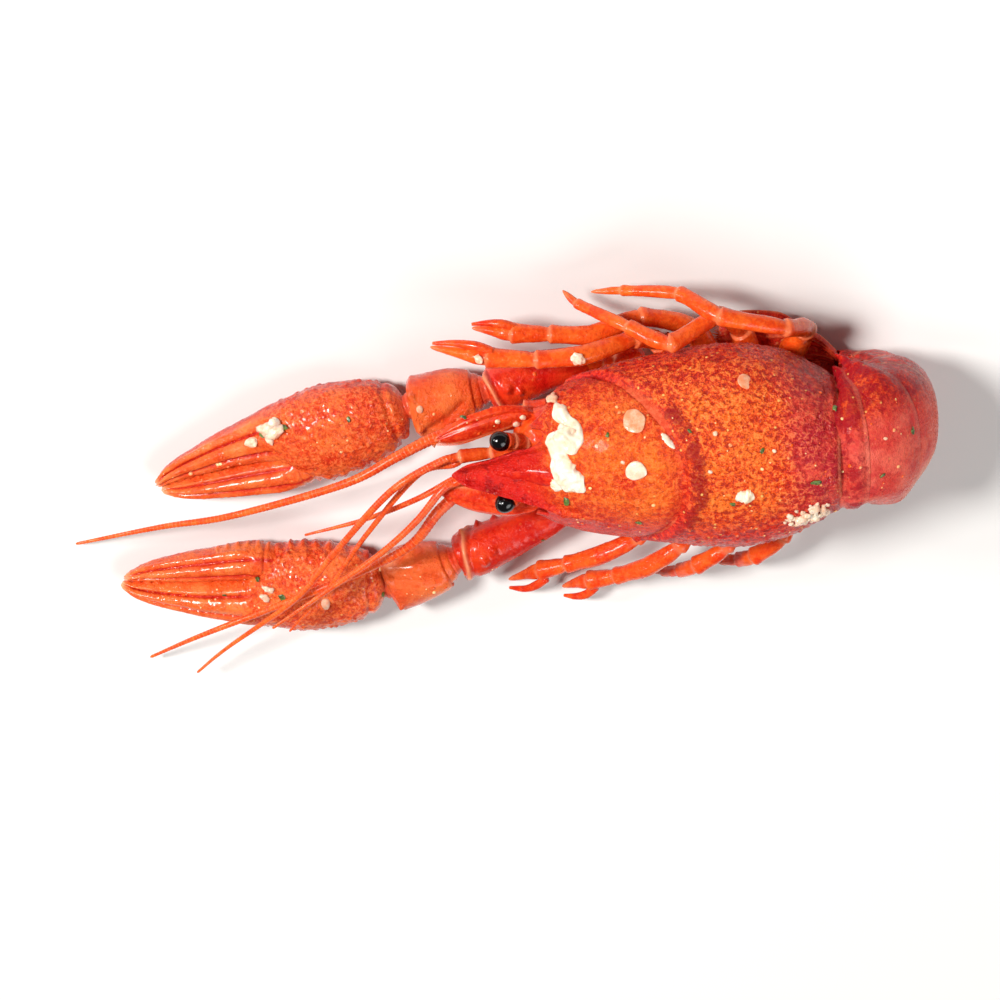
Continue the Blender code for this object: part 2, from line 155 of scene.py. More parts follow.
def smoothNoise(points, size, salt=0):
    # random values at the corners of cubes, blended smoothly inside each, from -1 to 1
    place = np.asarray(points) / size
    cell = np.floor(place)
    t = place - cell
    t = t * t * (3 - 2 * t)
    total = 0
    for corner in np.ndindex(2, 2, 2):
        share = np.prod(np.where(corner, t, 1 - t), axis=-1)
        total = total + share * cellNumber(cell + corner, salt)
    return 2 * total - 1


def grains(points, size, salt=0, radius=0.55):
    # low round domes, one somewhere in each cube of the given size, each of its own height; 0 between them
    place = np.asarray(points) / size
    cell = np.floor(place)
    nearest = np.full(place.shape[:-1], 9.0)
    number = np.zeros(place.shape[:-1])
    for offset in np.ndindex(3, 3, 3):
        near = cell + np.array(offset) - 1
        spot = near + np.stack([cellNumber(near, salt + k) for k in (1, 2, 3)], axis=-1)
        far = np.linalg.norm(place - spot, axis=-1)
        number = np.where(far < nearest, cellNumber(near, salt + 4), number)
        nearest = np.minimum(nearest, far)
    return bounded(1 - (nearest / radius) ** 2) ** 2 * (0.35 + 0.65 * number)


# grids of points into meshes

def sweep(rows, columns):
    # how far along each row of a grid is, from 0 to 1, and the angle round it of each column
    return np.linspace(0, 1, rows)[:, None], np.linspace(0, 2 * math.pi, columns, endpoint=False)[None, :]


def unit(vectors):
    # the same directions, of length 1
    return vectors / np.maximum(np.linalg.norm(vectors, axis=-1, keepdims=True), 1e-12)


def dot(first, second):
    # the product of each two vectors, x * x + y * y + z * z
    return np.einsum("ij,ij->i", first, second)


def gridNormals(grid, closed=True):
    # the change from row to row crossed with the change from column to column
    around = np.roll(grid, -1, axis=1) - np.roll(grid, 1, axis=1) if closed else np.gradient(grid, axis=1)
    return unit(np.cross(np.gradient(grid, axis=0), around))


def raised(grid, normals, height):
    # every point moved out along its normal
    return grid + normals * height[..., None]


def onTable(grid, gap=0.03):
    # nothing below the table, and so much above it
    grid[..., 2] = np.maximum(grid[..., 2], gap)
    return grid


def facing(normals, outward):
    # the normals turned round, all together, if they point against outward
    return normals * np.sign((normals * outward).sum())


def gridBody(grid, values=None, closed=True):
    # a grid as (points, quads, triangles, values from 0 to 1); closed, it gets a middle point at each end
    rows, columns, _ = grid.shape
    index = np.arange(rows * columns).reshape(rows, columns)
    here, beside = (index, np.roll(index, -1, axis=1)) if closed else (index[:, :-1], index[:, 1:])
    quads = np.stack([here[:-1], beside[:-1], beside[1:], here[1:]], axis=-1).reshape(-1, 4)
    points, triangles = grid.reshape(-1, 3), np.zeros((0, 3), int)
    values = {key: bounded(np.broadcast_to(value, (rows, columns))) for key, value in (values or {}).items()}
    if not closed:
        return points, quads, triangles, {key: value.ravel() for key, value in values.items()}
    points = np.concatenate([points, grid[:1].mean(axis=1), grid[-1:].mean(axis=1)])
    first, last = rows * columns, rows * columns + 1
    triangles = np.concatenate([at(beside[0], here[0], first), at(here[-1], beside[-1], last)])
    values = {key: np.concatenate([value.ravel(), [value[0].mean(), value[-1].mean()]])
              for key, value in values.items()}
    return points, quads, triangles, values


def hairs(roots, ways, lengths, width, bend=0.2):
    # three-sided spikes that taper and bend a little, as one body: root + way * length * t + bend * t * t
    t = np.array([0, 0.35, 0.7, 1.0])
    ways = unit(ways)
    aside = unit(np.cross(ways, [0.31, 0.2, 0.93]))
    over = np.cross(ways, aside)
    turn = np.arange(3) * 2 * math.pi / 3
    ring = np.cos(turn)[:, None] * aside[:, None] + np.sin(turn)[:, None] * over[:, None]
    middle = roots[:, None] + ways[:, None] * (lengths[:, None] * t)[..., None]
    middle = middle + (bend * lengths[:, None] * t**2)[..., None] * aside[:, None]
    points = onTable(middle[:, :, None] + (width * (1.04 - t) ** 0.7)[None, :, None, None] * ring[:, None])
    index = np.arange(points.size // 3).reshape(len(roots), 4, 3)
    beside = np.roll(index, -1, axis=2)
    quads = np.stack([index[:, :-1], beside[:, :-1], beside[:, 1:], index[:, 1:]], axis=-1).reshape(-1, 4)
    triangles = np.concatenate([index[:, 0, ::-1], index[:, -1]])
    values = {"bright": np.ones(points.size // 3), "plain": np.ones(points.size // 3)}
    return points.reshape(-1, 3), quads, triangles, values


def makePiece(name, bodies, finish, *nodes, wall=0):
    # one object of one or more bodies, each turned to face away from its own middle; wall thickens it inwards;
    # finish is a material and the record's slot, of which only the material is used, and nodes are the CAD
    # nodes that the piece stands for
    points, quads, triangles, start = [], [], [], 0
    for spots, fours, threes, _ in bodies:
        corners = np.concatenate([fours[:, [0, 1, 2]], fours[:, [0, 2, 3]], threes])
        a, b, c = (spots[corners[:, k]] - spots.mean(axis=0) for k in range(3))
        step = -1 if dot(a, np.cross(b, c)).sum() < 0 else 1
        points.append(spots)
        quads.append(fours[:, ::step] + start)
        triangles.append(threes[:, ::step] + start)
        start += len(spots)
    faces = np.concatenate(quads).tolist() + np.concatenate(triangles).tolist()
    mesh = bpy.data.meshes.new(name)
    mesh.from_pydata((np.concatenate(points) * mm + workOrigin).tolist(), [], faces)
    for key in bodies[0][3]:
        layer = mesh.attributes.new(key, "FLOAT", "POINT")
        layer.data.foreach_set("value", np.concatenate([body[3][key] for body in bodies]).astype(np.float32))
    mesh.shade_smooth()
    mesh.update()
    mesh.materials.append(finish[0])
    piece = bpy.data.objects.new(name, mesh)
    bpy.context.scene.collection.objects.link(piece)
    if wall:
        thicken = piece.modifiers.new("wall", "SOLIDIFY")
        thicken.thickness, thicken.offset = wall * mm, -1
    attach(piece, "root")
    if nodes:
        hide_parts(*nodes)


def pathThrough(stops, count, straightness=0.0):
    # points at even steps along a smooth line through the stops (Catmull-Rom), or one nearer to straight
    # stretches with rounded corners, with the distance along it at each point and at each stop
    stops = np.array(stops, float)
    ends = np.concatenate([2 * stops[:1] - stops[1:2], stops, 2 * stops[-1:] - stops[-2:-1]])
    t = np.linspace(0, len(stops) - 1, 60 * len(stops))
    i = np.minimum(t.astype(int), len(stops) - 2)
    f = (t - i)[:, None]
    a, b, c, d = (ends[i + k] for k in range(4))
    smooth = 0.5 * (2 * b + (c - a) * f + (2 * a - 5 * b + 4 * c - d) * f**2 + (3 * b - a - 3 * c + d) * f**3)
    fine = smooth + straightness * (b + (c - b) * f - smooth)
    length = np.concatenate([[0], np.cumsum(np.linalg.norm(np.diff(fine, axis=0), axis=1))])
    where = np.linspace(0, length[-1], count)
    points = np.stack([np.interp(where, length, fine[:, k]) for k in range(3)], axis=-1)
    return points, where, np.interp(np.arange(len(stops)), t, length)


def softened(values, width):
    # a running average along the first axis, the ends held
    before, after = np.repeat(values[:1], width, axis=0), np.repeat(values[-1:], width, axis=0)
    total = np.cumsum(np.concatenate([before, values, after]), axis=0)
    return (total[2 * width:] - total[:-2 * width]) / (2 * width)


def pathAxes(points):
    # sideways and upward at each point; sideways stays as level as the path allows
    forward = unit(np.gradient(points, axis=0))
    level = np.cross(forward, [0, 0, 1.0])
    level = np.where(np.linalg.norm(level, axis=1, keepdims=True) < 0.25, [0, 0, 0], level)
    level = softened(level, max(2, len(points) // 30)) if len(points) > 8 else level
    level = np.where(np.linalg.norm(level, axis=1, keepdims=True) < 1e-3, [0, 1.0, 0], level)
    across = unit(level - forward * dot(level, forward)[:, None])
    return across, np.cross(across, forward)


def roundedEnds(share, first=0.03, last=0.03):
    # a quarter circle at each end: 0 at the very end, 1 once past the given share of the length
    near, far = bounded(share / first), bounded((1 - share) / last)
    return np.sqrt(np.maximum(1 - (1 - near) ** 2, 0)) * np.sqrt(np.maximum(1 - (1 - far) ** 2, 0))


def tube(points, radii, around=18, flat=1.0):
    # a round outline carried along the path, flat times as high as it is wide and never below the table
    across, upward = pathAxes(points)
    turn = sweep(1, around)[1]
    ring = np.sin(turn)[..., None] * across[:, None] + flat * np.cos(turn)[..., None] * upward[:, None]
    return onTable(points[:, None] + np.asarray(radii)[:, None, None] * ring, 0.02)


# finishes

def colour(red, green, blue):
    # everyday 0-255 values as the linear ones that shaders use
    parts = np.array([red, green, blue]) / 255
    return (*np.where(parts <= 0.04045, parts / 12.92, ((parts + 0.055) / 1.055) ** 2.4).tolist(), 1.0)


def fill(tree, sockets, inputs):
    # each socket is given a value or joined to another node's output
    for key, value in inputs.items():
        if isinstance(value, bpy.types.NodeSocket):
            tree.links.new(value, sockets[key])
        else:
            sockets[key].default_value = value


def addNode(tree, kind, inputs=None, **settings):
    # a shader node with its settings and inputs
    node = tree.nodes.new("ShaderNode" + kind)
    for key, value in settings.items():
        setattr(node, key, value)
    fill(tree, node.inputs, inputs or {})
    return node


def maths(tree, operation, first, second, clamp=False):
    # one sum: first and second, with the operation between them
    return addNode(tree, "Math", {0: first, 1: second}, operation=operation, use_clamp=clamp).outputs[0]


def plus(tree, first, second):
    # first + second
    return maths(tree, "ADD", first, second)


def minus(tree, first, second):
    # first - second
    return maths(tree, "SUBTRACT", first, second)


def times(tree, first, second, clamp=False):
    # first * second
    return maths(tree, "MULTIPLY", first, second, clamp)


def spread(tree, value, low, high, toLow=0.0, toHigh=1.0):
    # a value from low to high becomes one from toLow to toHigh, eased at both ends
    inputs = {0: value, 1: low, 2: high, 3: toLow, 4: toHigh}
    return addNode(tree, "MapRange", inputs, interpolation_type="SMOOTHSTEP").outputs[0]


def blendColours(tree, factor, first, second):
    # first at 0, second at 1
    inputs = {0: factor, 6: first, 7: second}
    return addNode(tree, "Mix", inputs, data_type="RGBA", blend_type="MIX", clamp_factor=True).outputs[2]


def painted(tree, name):
    # a value that the mesh carries at its points
    return addNode(tree, "Attribute", attribute_name=name).outputs["Fac"]


def noise(tree, place, scale, detail, roughness=0.5, distortion=0.0):
    # clouds round 0.5, so many to a millimetre as scale says
    return addNode(tree, "TexNoise", {"Vector": place, "Scale": scale, "Detail": detail,
                                      "Roughness": roughness, "Distortion": distortion}).outputs["Fac"]


def makeGroup(name, inputs, outputs):
    # a shader node group; inputs are name: value, and a value may be None (a place), a number or a colour
    group = bpy.data.node_groups.new(name, "ShaderNodeTree")
    for label, value in inputs.items():
        kind = "Vector" if value is None else "Float" if isinstance(value, float) else "Color"
        socket = group.interface.new_socket(label, in_out="INPUT", socket_type="NodeSocket" + kind)
        if value is not None:
            socket.default_value = value
    for label, kind in outputs.items():
        group.interface.new_socket(label, in_out="OUTPUT", socket_type="NodeSocket" + kind)
    return group, group.nodes.new("NodeGroupInput").outputs, group.nodes.new("NodeGroupOutput").inputs


def makeMottle():
    # broad patches of two colours, grains of a third with dark
    # gaps between them, dark stains and a few yellow dots; where a piece
    # raises the dark share on its sides, the stains there are painted shade
    white = (1, 1, 1, 1)
    group, taken, given = makeGroup("mottle", {
        "Place": None, "Ground": white, "Second": white, "Grain": white, "Dark": white, "Patch size": 3.0,
        "Grain size": 0.6, "Grain share": 0.5, "Dark share": 0.2}, {"Color": "Color", "Bumps": "Float"})
    place, grainShare = taken["Place"], taken["Grain share"]
    patches = noise(group, place, maths(group, "DIVIDE", 1.0, taken["Patch size"]), 3.0, 0.6)
    ground = blendColours(group, spread(group, patches, 0.38, 0.62), taken["Ground"], taken["Second"])
    scale = maths(group, "DIVIDE", 1.0, taken["Grain size"])
    grainy = noise(group, place, scale, 3.0, 0.6, 0.35)
    fine = noise(group, place, times(group, scale, 3.1), 2.0)
    mixed = plus(group, grainy, times(group, minus(group, fine, 0.5), 0.5))
    dim = times(group, spread(group, mixed, 0.5, 0.36), grainShare)
    lit = times(group, spread(group, mixed, 0.5, 0.64), grainShare)
    ground = blendColours(group, times(group, dim, 0.85), ground, taken["Dark"])
    ground = blendColours(group, lit, ground, taken["Grain"])
    stain = noise(group, place, maths(group, "DIVIDE", 1.8, taken["Patch size"]), 5.0, 0.72, 0.4)
    least = minus(group, 0.7, times(group, taken["Dark share"], 0.3))
    stains_and_painted_shade = times(group, minus(group, stain, least), 9.0, True)
    ground = blendColours(group, times(group, stains_and_painted_shade, 0.75), ground, taken["Dark"])
    cells = addNode(group, "TexVoronoi", {"Vector": place, "Scale": times(group, scale, 0.8)})
    number = addNode(group, "SeparateColor", {0: cells.outputs["Color"]}).outputs[0]
    chosen = times(group, minus(group, 0.1, number), 20.0, True)
    dots = times(group, spread(group, cells.outputs["Distance"], 0.3, 0.16), chosen)
    dots = times(group, dots, grainShare)
    fill(group, given, {"Color": blendColours(group, dots, ground, colour(255, 200, 110)),
                        "Bumps": plus(group, mixed, times(group, dots, 0.2))})
    return group


def makeWetFilm():
    # how much butter lies on the surface: pools a few millimetres wide with drier skin between them
    group, taken, given = makeGroup("wetFilm", {"Place": None, "Dry": 0.4, "Wet": 0.12, "Least": 0.3},
                                    {"Roughness": "Float", "Coat": "Float", "Pool": "Float"})
    pool = spread(group, noise(group, taken["Place"], 0.34, 4.0, 0.6, 0.4), 0.4, 0.6)
    span = minus(group, taken["Wet"], taken["Dry"])
    rough = plus(group, taken["Dry"], times(group, span, pool))
    rest = times(group, minus(group, 1.0, taken["Least"]), pool)
    fill(group, given, {"Roughness": rough, "Coat": plus(group, taken["Least"], rest), "Pool": pool})
    return group


mottle, wetFilm = makeMottle(), makeWetFilm()


def startFinish(name):
    # a new material with only its shader and output, and the shader's sockets
    made = bpy.data.materials.new(name)
    made.use_nodes = True
    return made, made.node_tree, made.node_tree.nodes["Principled BSDF"].inputs


def placeInMillimetres(tree):
    # the place on the piece, from metres
    coordinates = addNode(tree, "TexCoord").outputs["Object"]
    return addNode(tree, "VectorMath", {0: coordinates, 3: 1 / mm}, operation="SCALE").outputs[0]


def useGroup(tree, group, inputs):
    # what a node group makes of these inputs
    node = tree.nodes.new("ShaderNodeGroup")
    node.node_tree = group
    fill(tree, node.inputs, inputs)
    return node.outputs


def bumped(tree, height, strength, depth):
    # the surface tilted as if the height stood proud of it by so many millimetres
    return addNode(tree, "Bump", {"Height": height, "Strength": strength, "Distance": depth * mm}).outputs[0]


def shellFinish(name, slotName, look):
    # boiled shell: mottled colour, changed where the piece
    # is painted deep, pink, bright, crimson, plain or pale; on some pieces
    # the deep and crimson marks also carry painted shade, and the bright mark partly painted light
    look = boiled | look
    made, tree, shader = startFinish(name)
    place = placeInMillimetres(tree)
    layers = {layer: colour(*look[layer]) for layer in ("ground", "second", "grain")}
    for mark in ("deep", "pink", "bright"):
        amount = painted(tree, mark)
        for layer, suffix in (("ground", ""), ("second", "Second"), ("grain", "Grain")):
            layers[layer] = blendColours(tree, amount, layers[layer], colour(*look[mark + suffix]))
    darkShare = plus(tree, painted(tree, "crimson"), look["darkShare"])
    grainShare = times(tree, minus(tree, 1.0, painted(tree, "plain")), look["grainShare"])
    colours = useGroup(tree, mottle, {
        "Place": place, "Ground": layers["ground"], "Second": layers["second"], "Grain": layers["grain"],
        "Dark": colour(*look["dark"]), "Patch size": look["patchSize"], "Grain size": look["grainSize"],
        "Grain share": grainShare, "Dark share": darkShare})
    tint = blendColours(tree, painted(tree, "pale"), colours["Color"], colour(*look["pale"]))
    film = useGroup(tree, wetFilm, {
        "Place": place, "Dry": look["dry"], "Wet": look["wet"], "Least": look["least"]})
    fill(tree, shader, {
        "Base Color": tint, "Roughness": film["Roughness"],
        "Coat Weight": times(tree, film["Coat"], look["coat"]),
        "Normal": bumped(tree, colours["Bumps"], 1.0, look["bump"]),
        "Coat Roughness": look["coatRough"], "Coat IOR": 1.4, "Specular IOR Level": look["shine"]})
    return made, slotName


# colours are 0-255, sizes and the bump's depth are millimetres; dry and wet are the roughness without and with
# butter, and least is how much film there is where it is driest
boiled = {
    "ground": (210, 40, 16), "second": (224, 66, 22), "grain": (255, 132, 56), "dark": (144, 6, 14),
    # the deep colours are the shell's own deep red and also the colour of painted shade on sides, undersides
    # and in grooves; the bright colours are partly painted light on the top of the shell
    "deep": (204, 22, 18), "deepSecond": (214, 34, 24), "deepGrain": (244, 70, 36),
    "pink": (216, 64, 50), "pinkSecond": (180, 30, 42), "pinkGrain": (240, 114, 74),
    "bright": (230, 80, 20), "brightSecond": (242, 106, 28), "brightGrain": (255, 138, 60),
    "pale": (252, 186, 138), "patchSize": 2.8, "grainSize": 0.56, "grainShare": 0.85, "darkShare": 0.14,
    "dry": 0.32, "wet": 0.15, "least": 0.1, "coat": 0.07, "coatRough": 0.1, "bump": 0.34, "shine": 0.18,
}
shellOrange = shellFinish("boiledShellOrange", "shell_orange", {})
shellPink = shellFinish("boiledShellPink", "shell_pink", {
    "ground": (212, 42, 34), "second": (222, 68, 46), "grain": (248, 132, 104), "dark": (150, 10, 30),
    "deep": (176, 14, 14), "deepSecond": (196, 30, 20), "pink": (234, 100, 82), "pinkSecond": (210, 60, 56),
    "bright": (218, 58, 24), "brightSecond": (232, 90, 40), "pale": (255, 214, 176), "patchSize": 2.6,
    "grainSize": 0.5, "grainShare": 0.62, "darkShare": 0.16, "bump": 0.24, "coat": 0.06, "shine": 0.08})
shellRed = shellFinish("boiledShellRed", "shell_red", {
    "ground": (196, 26, 16), "second": (212, 46, 24), "grain": (240, 100, 52), "dark": (134, 6, 10),
    "grainShare": 0.45, "bump": 0.2})
clawOrange = shellFinish("boiledClawOrange", "shell_orange", {
    "ground": (222, 56, 20), "second": (234, 82, 32), "grain": (255, 148, 84), "deep": (190, 16, 14),
    "deepSecond": (206, 30, 18), "bright": (236, 92, 34), "brightSecond": (246, 122, 58), "grainSize": 0.5,
    "grainShare": 0.5, "darkShare": 0.02, "dry": 0.26, "wet": 0.12, "least": 0.35, "coat": 0.75,
    "coatRough": 0.12, "bump": 0.25})
legRed = shellFinish("boiledLegRed", "leg_red", {
    "ground": (224, 48, 16), "second": (236, 76, 26), "grain": (252, 128, 66), "dark": (150, 8, 12),
    "deep": (190, 18, 14), "deepSecond": (210, 36, 20), "bright": (238, 84, 20),
    "brightSecond": (246, 106, 32), "pale": (252, 176, 124), "patchSize": 2.4, "grainSize": 0.6,
    "grainShare": 0.25, "darkShare": 0.02,
    "dry": 0.2, "wet": 0.1, "least": 0.6, "coat": 0.75, "coatRough": 0.16, "bump": 0.16, "shine": 0.1})
bellyCream = shellFinish("bellyCream", "belly_cream", {
    "ground": (216, 96, 54), "second": (232, 134, 84), "grain": (244, 172, 124), "dark": (190, 60, 36),
    "patchSize": 2.2, "grainShare": 0.4, "dry": 0.5, "wet": 0.3, "coat": 0.0, "bump": 0.15, "shine": 0.05})
print("finishes made")


# the shell over head and thorax: places along it are x, angles round its arch are degrees from the midline

shell = {
    "rows": 196, "columns": 226, "reach": 148, "wall": 0.42, "waist": 0.34, "rear": 46,
    "halfWidths": [(0, 6.4), (9.6, 6.6), (12, 7.9), (16, 9.6), (24, 11.2), (34, 12.3), (40, 11.2), (44, 9.3),
                   (46, 8.2), (48, 7.6)],
    "tops": [(0, 17.7), (5, 19.0), (9.6, 20.6), (16, 22.9), (24, 25.0), (34, 26.8), (42, 27.2), (46, 26.8),
             (48, 26.5)],
    "bottoms": [(0, 13.0), (9.6, 12.5), (12, 11.4), (16, 9.6), (24, 8.6), (42, 8.6), (46, 10.0), (48, 10.6)],
    "frontEdge": [(0, 0), (8, 1.2), (18, 5.0), (31, 9.4), (38, 11.0), (45, 11.4), (53, 10.6), (60, 9.9),
                  (68, 11.6), (80, 12.4), (100, 13.6), (130, 16.5), (148, 19.5)],
    "beakMargin": [(0, 0), (1.2, 8), (5.0, 18), (9.4, 31), (12, 33), (19, 34)],
    "neckPlace": 27.4, "neckForward": 9.5, "neckDepth": 0.55, "neckWidth": 0.75,
    "grainSize": 0.95, "grainHeight": 0.2,
}


def shellOutline(x):
    # half width, top, bottom, and the waist, a share of the way up from bottom to top
    wide, top, bottom = (curve(shell[key], x) for key in ("halfWidths", "tops", "bottoms"))
    return wide, top, bottom, bottom + shell["waist"] * (top - bottom)


def shellPoint(x, degrees):
    # the plain shell: at each x a superellipse arch, (half width * sin^e, height * cos^e),
    # rounder above than below
    side, up = superellipse(np.radians(degrees), 0.95 - 0.33 * fade(np.abs(degrees), 90, 125))
    wide, top, bottom, waist = shellOutline(x)
    return at(x, wide * side, waist + np.where(up > 0, top - waist, waist - bottom) * up)


def shellRear(degrees):
    # the rear edge: swept back down the sides, then forward again underneath
    away = np.abs(degrees)
    return shell["rear"] + 1.1 * np.sin(np.radians(np.minimum(away, 90))) ** 2 - 2.6 * fade(away, 95, 148)


def neckLine(degrees):
    # where the neck groove runs: a curve that is furthest
    # back on the midline and comes forward down the sides
    return shell["neckPlace"] - shell["neckForward"] * (1 - np.cos(np.radians(degrees)))


def shellRelief(x, degrees, points):
    # what stands proud of the plain shell, in millimetres: ridges, grooves and grains added up
    away = np.abs(degrees)
    margin = curve(shell["beakMargin"], x)
    beside = np.radians(away - margin) * curve(shell["halfWidths"], x)
    behindNeck, beforeRear = x - neckLine(degrees), shellRear(degrees) - x
    # the beak's raised margins with a hollow between them, and a spine behind each eye
    relief = 0.5 * hump(beside, -0.1, 0.4) * fade(x, 0.3, 2) * fade(x, 18.5, 12.5)
    relief -= 0.7 * fade(x, 0.6, 3) * fade(x, 13, 9) * bounded(1 - (away / np.maximum(margin, 1)) ** 2)
    relief += 0.3 * hump(np.hypot((x - 13.2) / 0.55, (away - 34) / 4.2), 0, 1)
    # the neck groove with a lip on each side, and a spine on it at each side of the head
    deep = shell["neckDepth"] * (1 - 0.8 * fade(away, 90, 118))
    relief -= deep * hump(behindNeck, 0, shell["neckWidth"])
    relief += 0.16 * hump(behindNeck, 1.5, 1.0) - 0.05 * hump(behindNeck, -1.6, 1.0)
    relief += 0.55 * hump(np.hypot((behindNeck - 0.9) * 1.3, (away - 72) / 4), 0, 0.55)
    # the stomach region swells, a hollow lies behind each eye, and the gill chambers bulge
    relief += 0.35 * hump(x, 19, 5) * hump(away, 0, 32)
    relief -= 0.22 * hump(x, 15.5, 1.6) * hump(away, 46, 7)
    relief += 0.35 * hump(x, 36, 8) * hump(away, 62, 26)
    # two lines along the back where the gill chambers meet,
    # the rear rim, and the fold along each lower edge
    gill = fade(x, 28.6, 31) * fade(x, 45, 42)
    relief -= 0.13 * gill * hump(np.abs(points[..., 1]), 0.95 + 0.25 * hump(x, 29, 3), 0.24)
    relief -= 0.08 * hump(beforeRear, 1.7, 0.34) * fade(away, 140, 120)
    relief += 0.04 * fade(beforeRear, 1.6, 1.1) - 0.36 * fade(beforeRear, 0.9, 0.0)
    relief -= 0.22 * hump(away, 136, 2.2) * fade(behindNeck, 0, 4)
    # grains behind the neck and calmer ones before it, with coarse ones on the cheeks
    rough = fade(behindNeck, 0.6, 2.2) * fade(beforeRear, 1.6, 3.0) * (1 - 0.55 * fade(away, 120, 140))
    calm = fade(x - curve(shell["frontEdge"], away), 0.3, 1.5) * fade(behindNeck, -0.4, -1.4)
    calm = calm * (0.35 + 0.5 * fade(away, 45, 75))
    cheek = hump(np.hypot((x - 16.5) / 3.2, (away - 84) / 20), 0, 1)
    size, height = shell["grainSize"], shell["grainHeight"]
    relief += height * rough * (grains(points, size, 3) + 0.5 * grains(points, 0.6 * size, 9))
    relief += 0.6 * height * calm * grains(points, 0.9 * size, 21)
    relief += 0.34 * cheek * grains(points, 1.5, 33, 0.42)
    return relief + 0.11 * smoothNoise(points, 5.5, 5) + 0.05 * smoothNoise(points, 2.1, 6)


def makeShell():
    # rows run from the shaped front edge (beak, eye sockets,
    # cheeks) to the rear edge, columns round the arch
    degrees = np.linspace(-shell["reach"], shell["reach"], shell["columns"])[None, :]
    share, away = np.linspace(0, 1, shell["rows"])[:, None], np.abs(degrees)
    front = curve(shell["frontEdge"], away)
    x = front + (shellRear(degrees) - front) * (0.12 * share**2 + 0.88 * share)
    plain = shellPoint(x, degrees)
    normals = facing(gridNormals(plain, False), [0, 0, 1])
    behindNeck, beforeRear = x - neckLine(degrees), shellRear(degrees) - x
    wander = smoothNoise(plain, 3.0, 41)
    edge = np.minimum(fade(beforeRear, 0.55, 0.1) + 0.6 * fade(x - front, 0.5, 0.1) * fade(away, 50, 62), 1)
    neck = hump(behindNeck, 0.2, 0.8) * fade(away, 118, 95) * (0.75 + 0.25 * wander)
    marks = {
        # deep: the beak's own deep red and random unevenness; painted shade on both sides, down the left side
        # and in the neck groove
        "deep": 1 - fade(x, 8.5, 13.5) + 0.6 * fade(away, 55, 100) + 0.25 * wander
        + 0.7 * hump(behindNeck, 0.3, 1.0) + 0.95 * fade(-degrees, 10, 46),
        "pink": fade(x + 1.8 * wander, 37.5, 43) * (1 - 0.5 * fade(away, 60, 90)),
        # crimson: stains behind the neck groove, along the rear edge and on the beak, and painted shade on the
        # sides
        "crimson": 0.9 * hump(behindNeck, 1.9, 1.5) * fade(away, 65, 40) + 0.45 * fade(beforeRear, 8, 2)
        + 0.35 * fade(away, 48, 80) + 0.5 * fade(x, 12, 8),
        # bright: the head's orange, centred right of the midline on the side the light comes from: partly the
        # shell's own colour, partly painted light
        "bright": fade(np.abs(degrees - 18), 62, 24) * fade(x, 41, 36) * fade(x, 10, 14)
        * (0.7 + 0.55 * wander) * (1 - 0.8 * hump(behindNeck, 0.6, 1.6)),
        "plain": 0.4 * fade(behindNeck, 1.2, -1.0) + 0.5 * fade(x, 12.5, 9) + 0.4 * fade(x, 40, 44),
        "pale": 0.2 * edge + 0.15 * neck * hump(degrees, 48, 26),
    }
    grid = raised(plain, normals, shellRelief(x, degrees, plain))
    makePiece("shell_over_head_and_thorax", [gridBody(grid, marks, False)], shellOrange, "carapace",
              wall=shell["wall"])


makeShell()
print("shell made")


# what the shell closes over: the body inside, the plates between the legs, and the face

core = {"front": 12.6, "rear": 45.2, "inset": 0.75, "rows": 60, "columns": 72, "belly": 1.4, "chin": 6.5}


def makeCore():
    # the shell's own outline drawn in a little all round, closed underneath and rounded at both ends
    share, turn = sweep(core["rows"], core["columns"])
    place = core["front"] + (core["rear"] - core["front"]) * share
    ends = roundedEnds(share, 0.12, 0.05)
    wide, top, bottom, waist = shellOutline(place)
    side, up = superellipse(turn, 0.85)
    reach = np.where(up > 0, top - waist, waist - bottom + core["belly"]) - core["inset"]
    under = bounded(-up)
    x = place + core["chin"] * fade(place, 24, 14) * under
    grid = at(x, (wide - core["inset"]) * side * ends * (1 - 0.12 * under), waist + reach * up * ends)
    grid += 0.25 * smoothNoise(grid, 2.5, 8)[..., None] * [0, 0.6, 1]
    body = gridBody(grid, {"deep": 0.6, "pale": 0.25 * under})
    makePiece("body_inside_shell", [body], bellyCream, "carapace", "underside")


sternum = {"from": 21.5, "to": 45.6, "low": 5.6, "high": 9.4, "ridges": (24.6, 29.0, 33.6, 38.2, 42.6),
           "halfWidths": [(21.5, 1.6), (24, 4.2), (28, 5.6), (40, 6.3), (44.5, 5.4), (45.6, 3.2)],
           "rows": 110, "columns": 60}


def makeSternum():
    # a flattened body along the belly: a keel on the midline and a cross ridge between each two legs
    share, turn = sweep(sternum["rows"], sternum["columns"])
    x = sternum["from"] + (sternum["to"] - sternum["from"]) * share
    wide, ends = curve(sternum["halfWidths"], x), roundedEnds(share, 0.06, 0.05)
    side, up = superellipse(turn, 0.8)
    middle, half = (sternum["high"] + sternum["low"]) / 2, (sternum["high"] - sternum["low"]) / 2
    ridge = sum(hump(x + 0.8 * np.abs(side), place, 0.7) for place in sternum["ridges"])
    valley = 1.1 * hump(side * wide, 0, 0.5) * (1 - 0.7 * np.minimum(ridge, 1))
    pads = hump(np.abs(side * wide), 2.6, 1.3) * (1 - np.minimum(ridge, 1))
    down = bounded(-up) * (ridge + 0.5 * pads - valley - 0.6)
    grid = at(x, wide * side * ends, middle + (half * up - down) * ends)
    grid += 0.12 * smoothNoise(grid, 1.4, 7)[..., None] * [0, 0.4, 1]
    # the midline valley is painted a deeper red as shade
    body = gridBody(grid, {"pale": 0.5 * ridge, "deep": 0.7 - 0.6 * ridge + 0.6 * valley - 0.3 * pads})
    makePiece("plates_between_legs", [body], bellyCream, "underside")


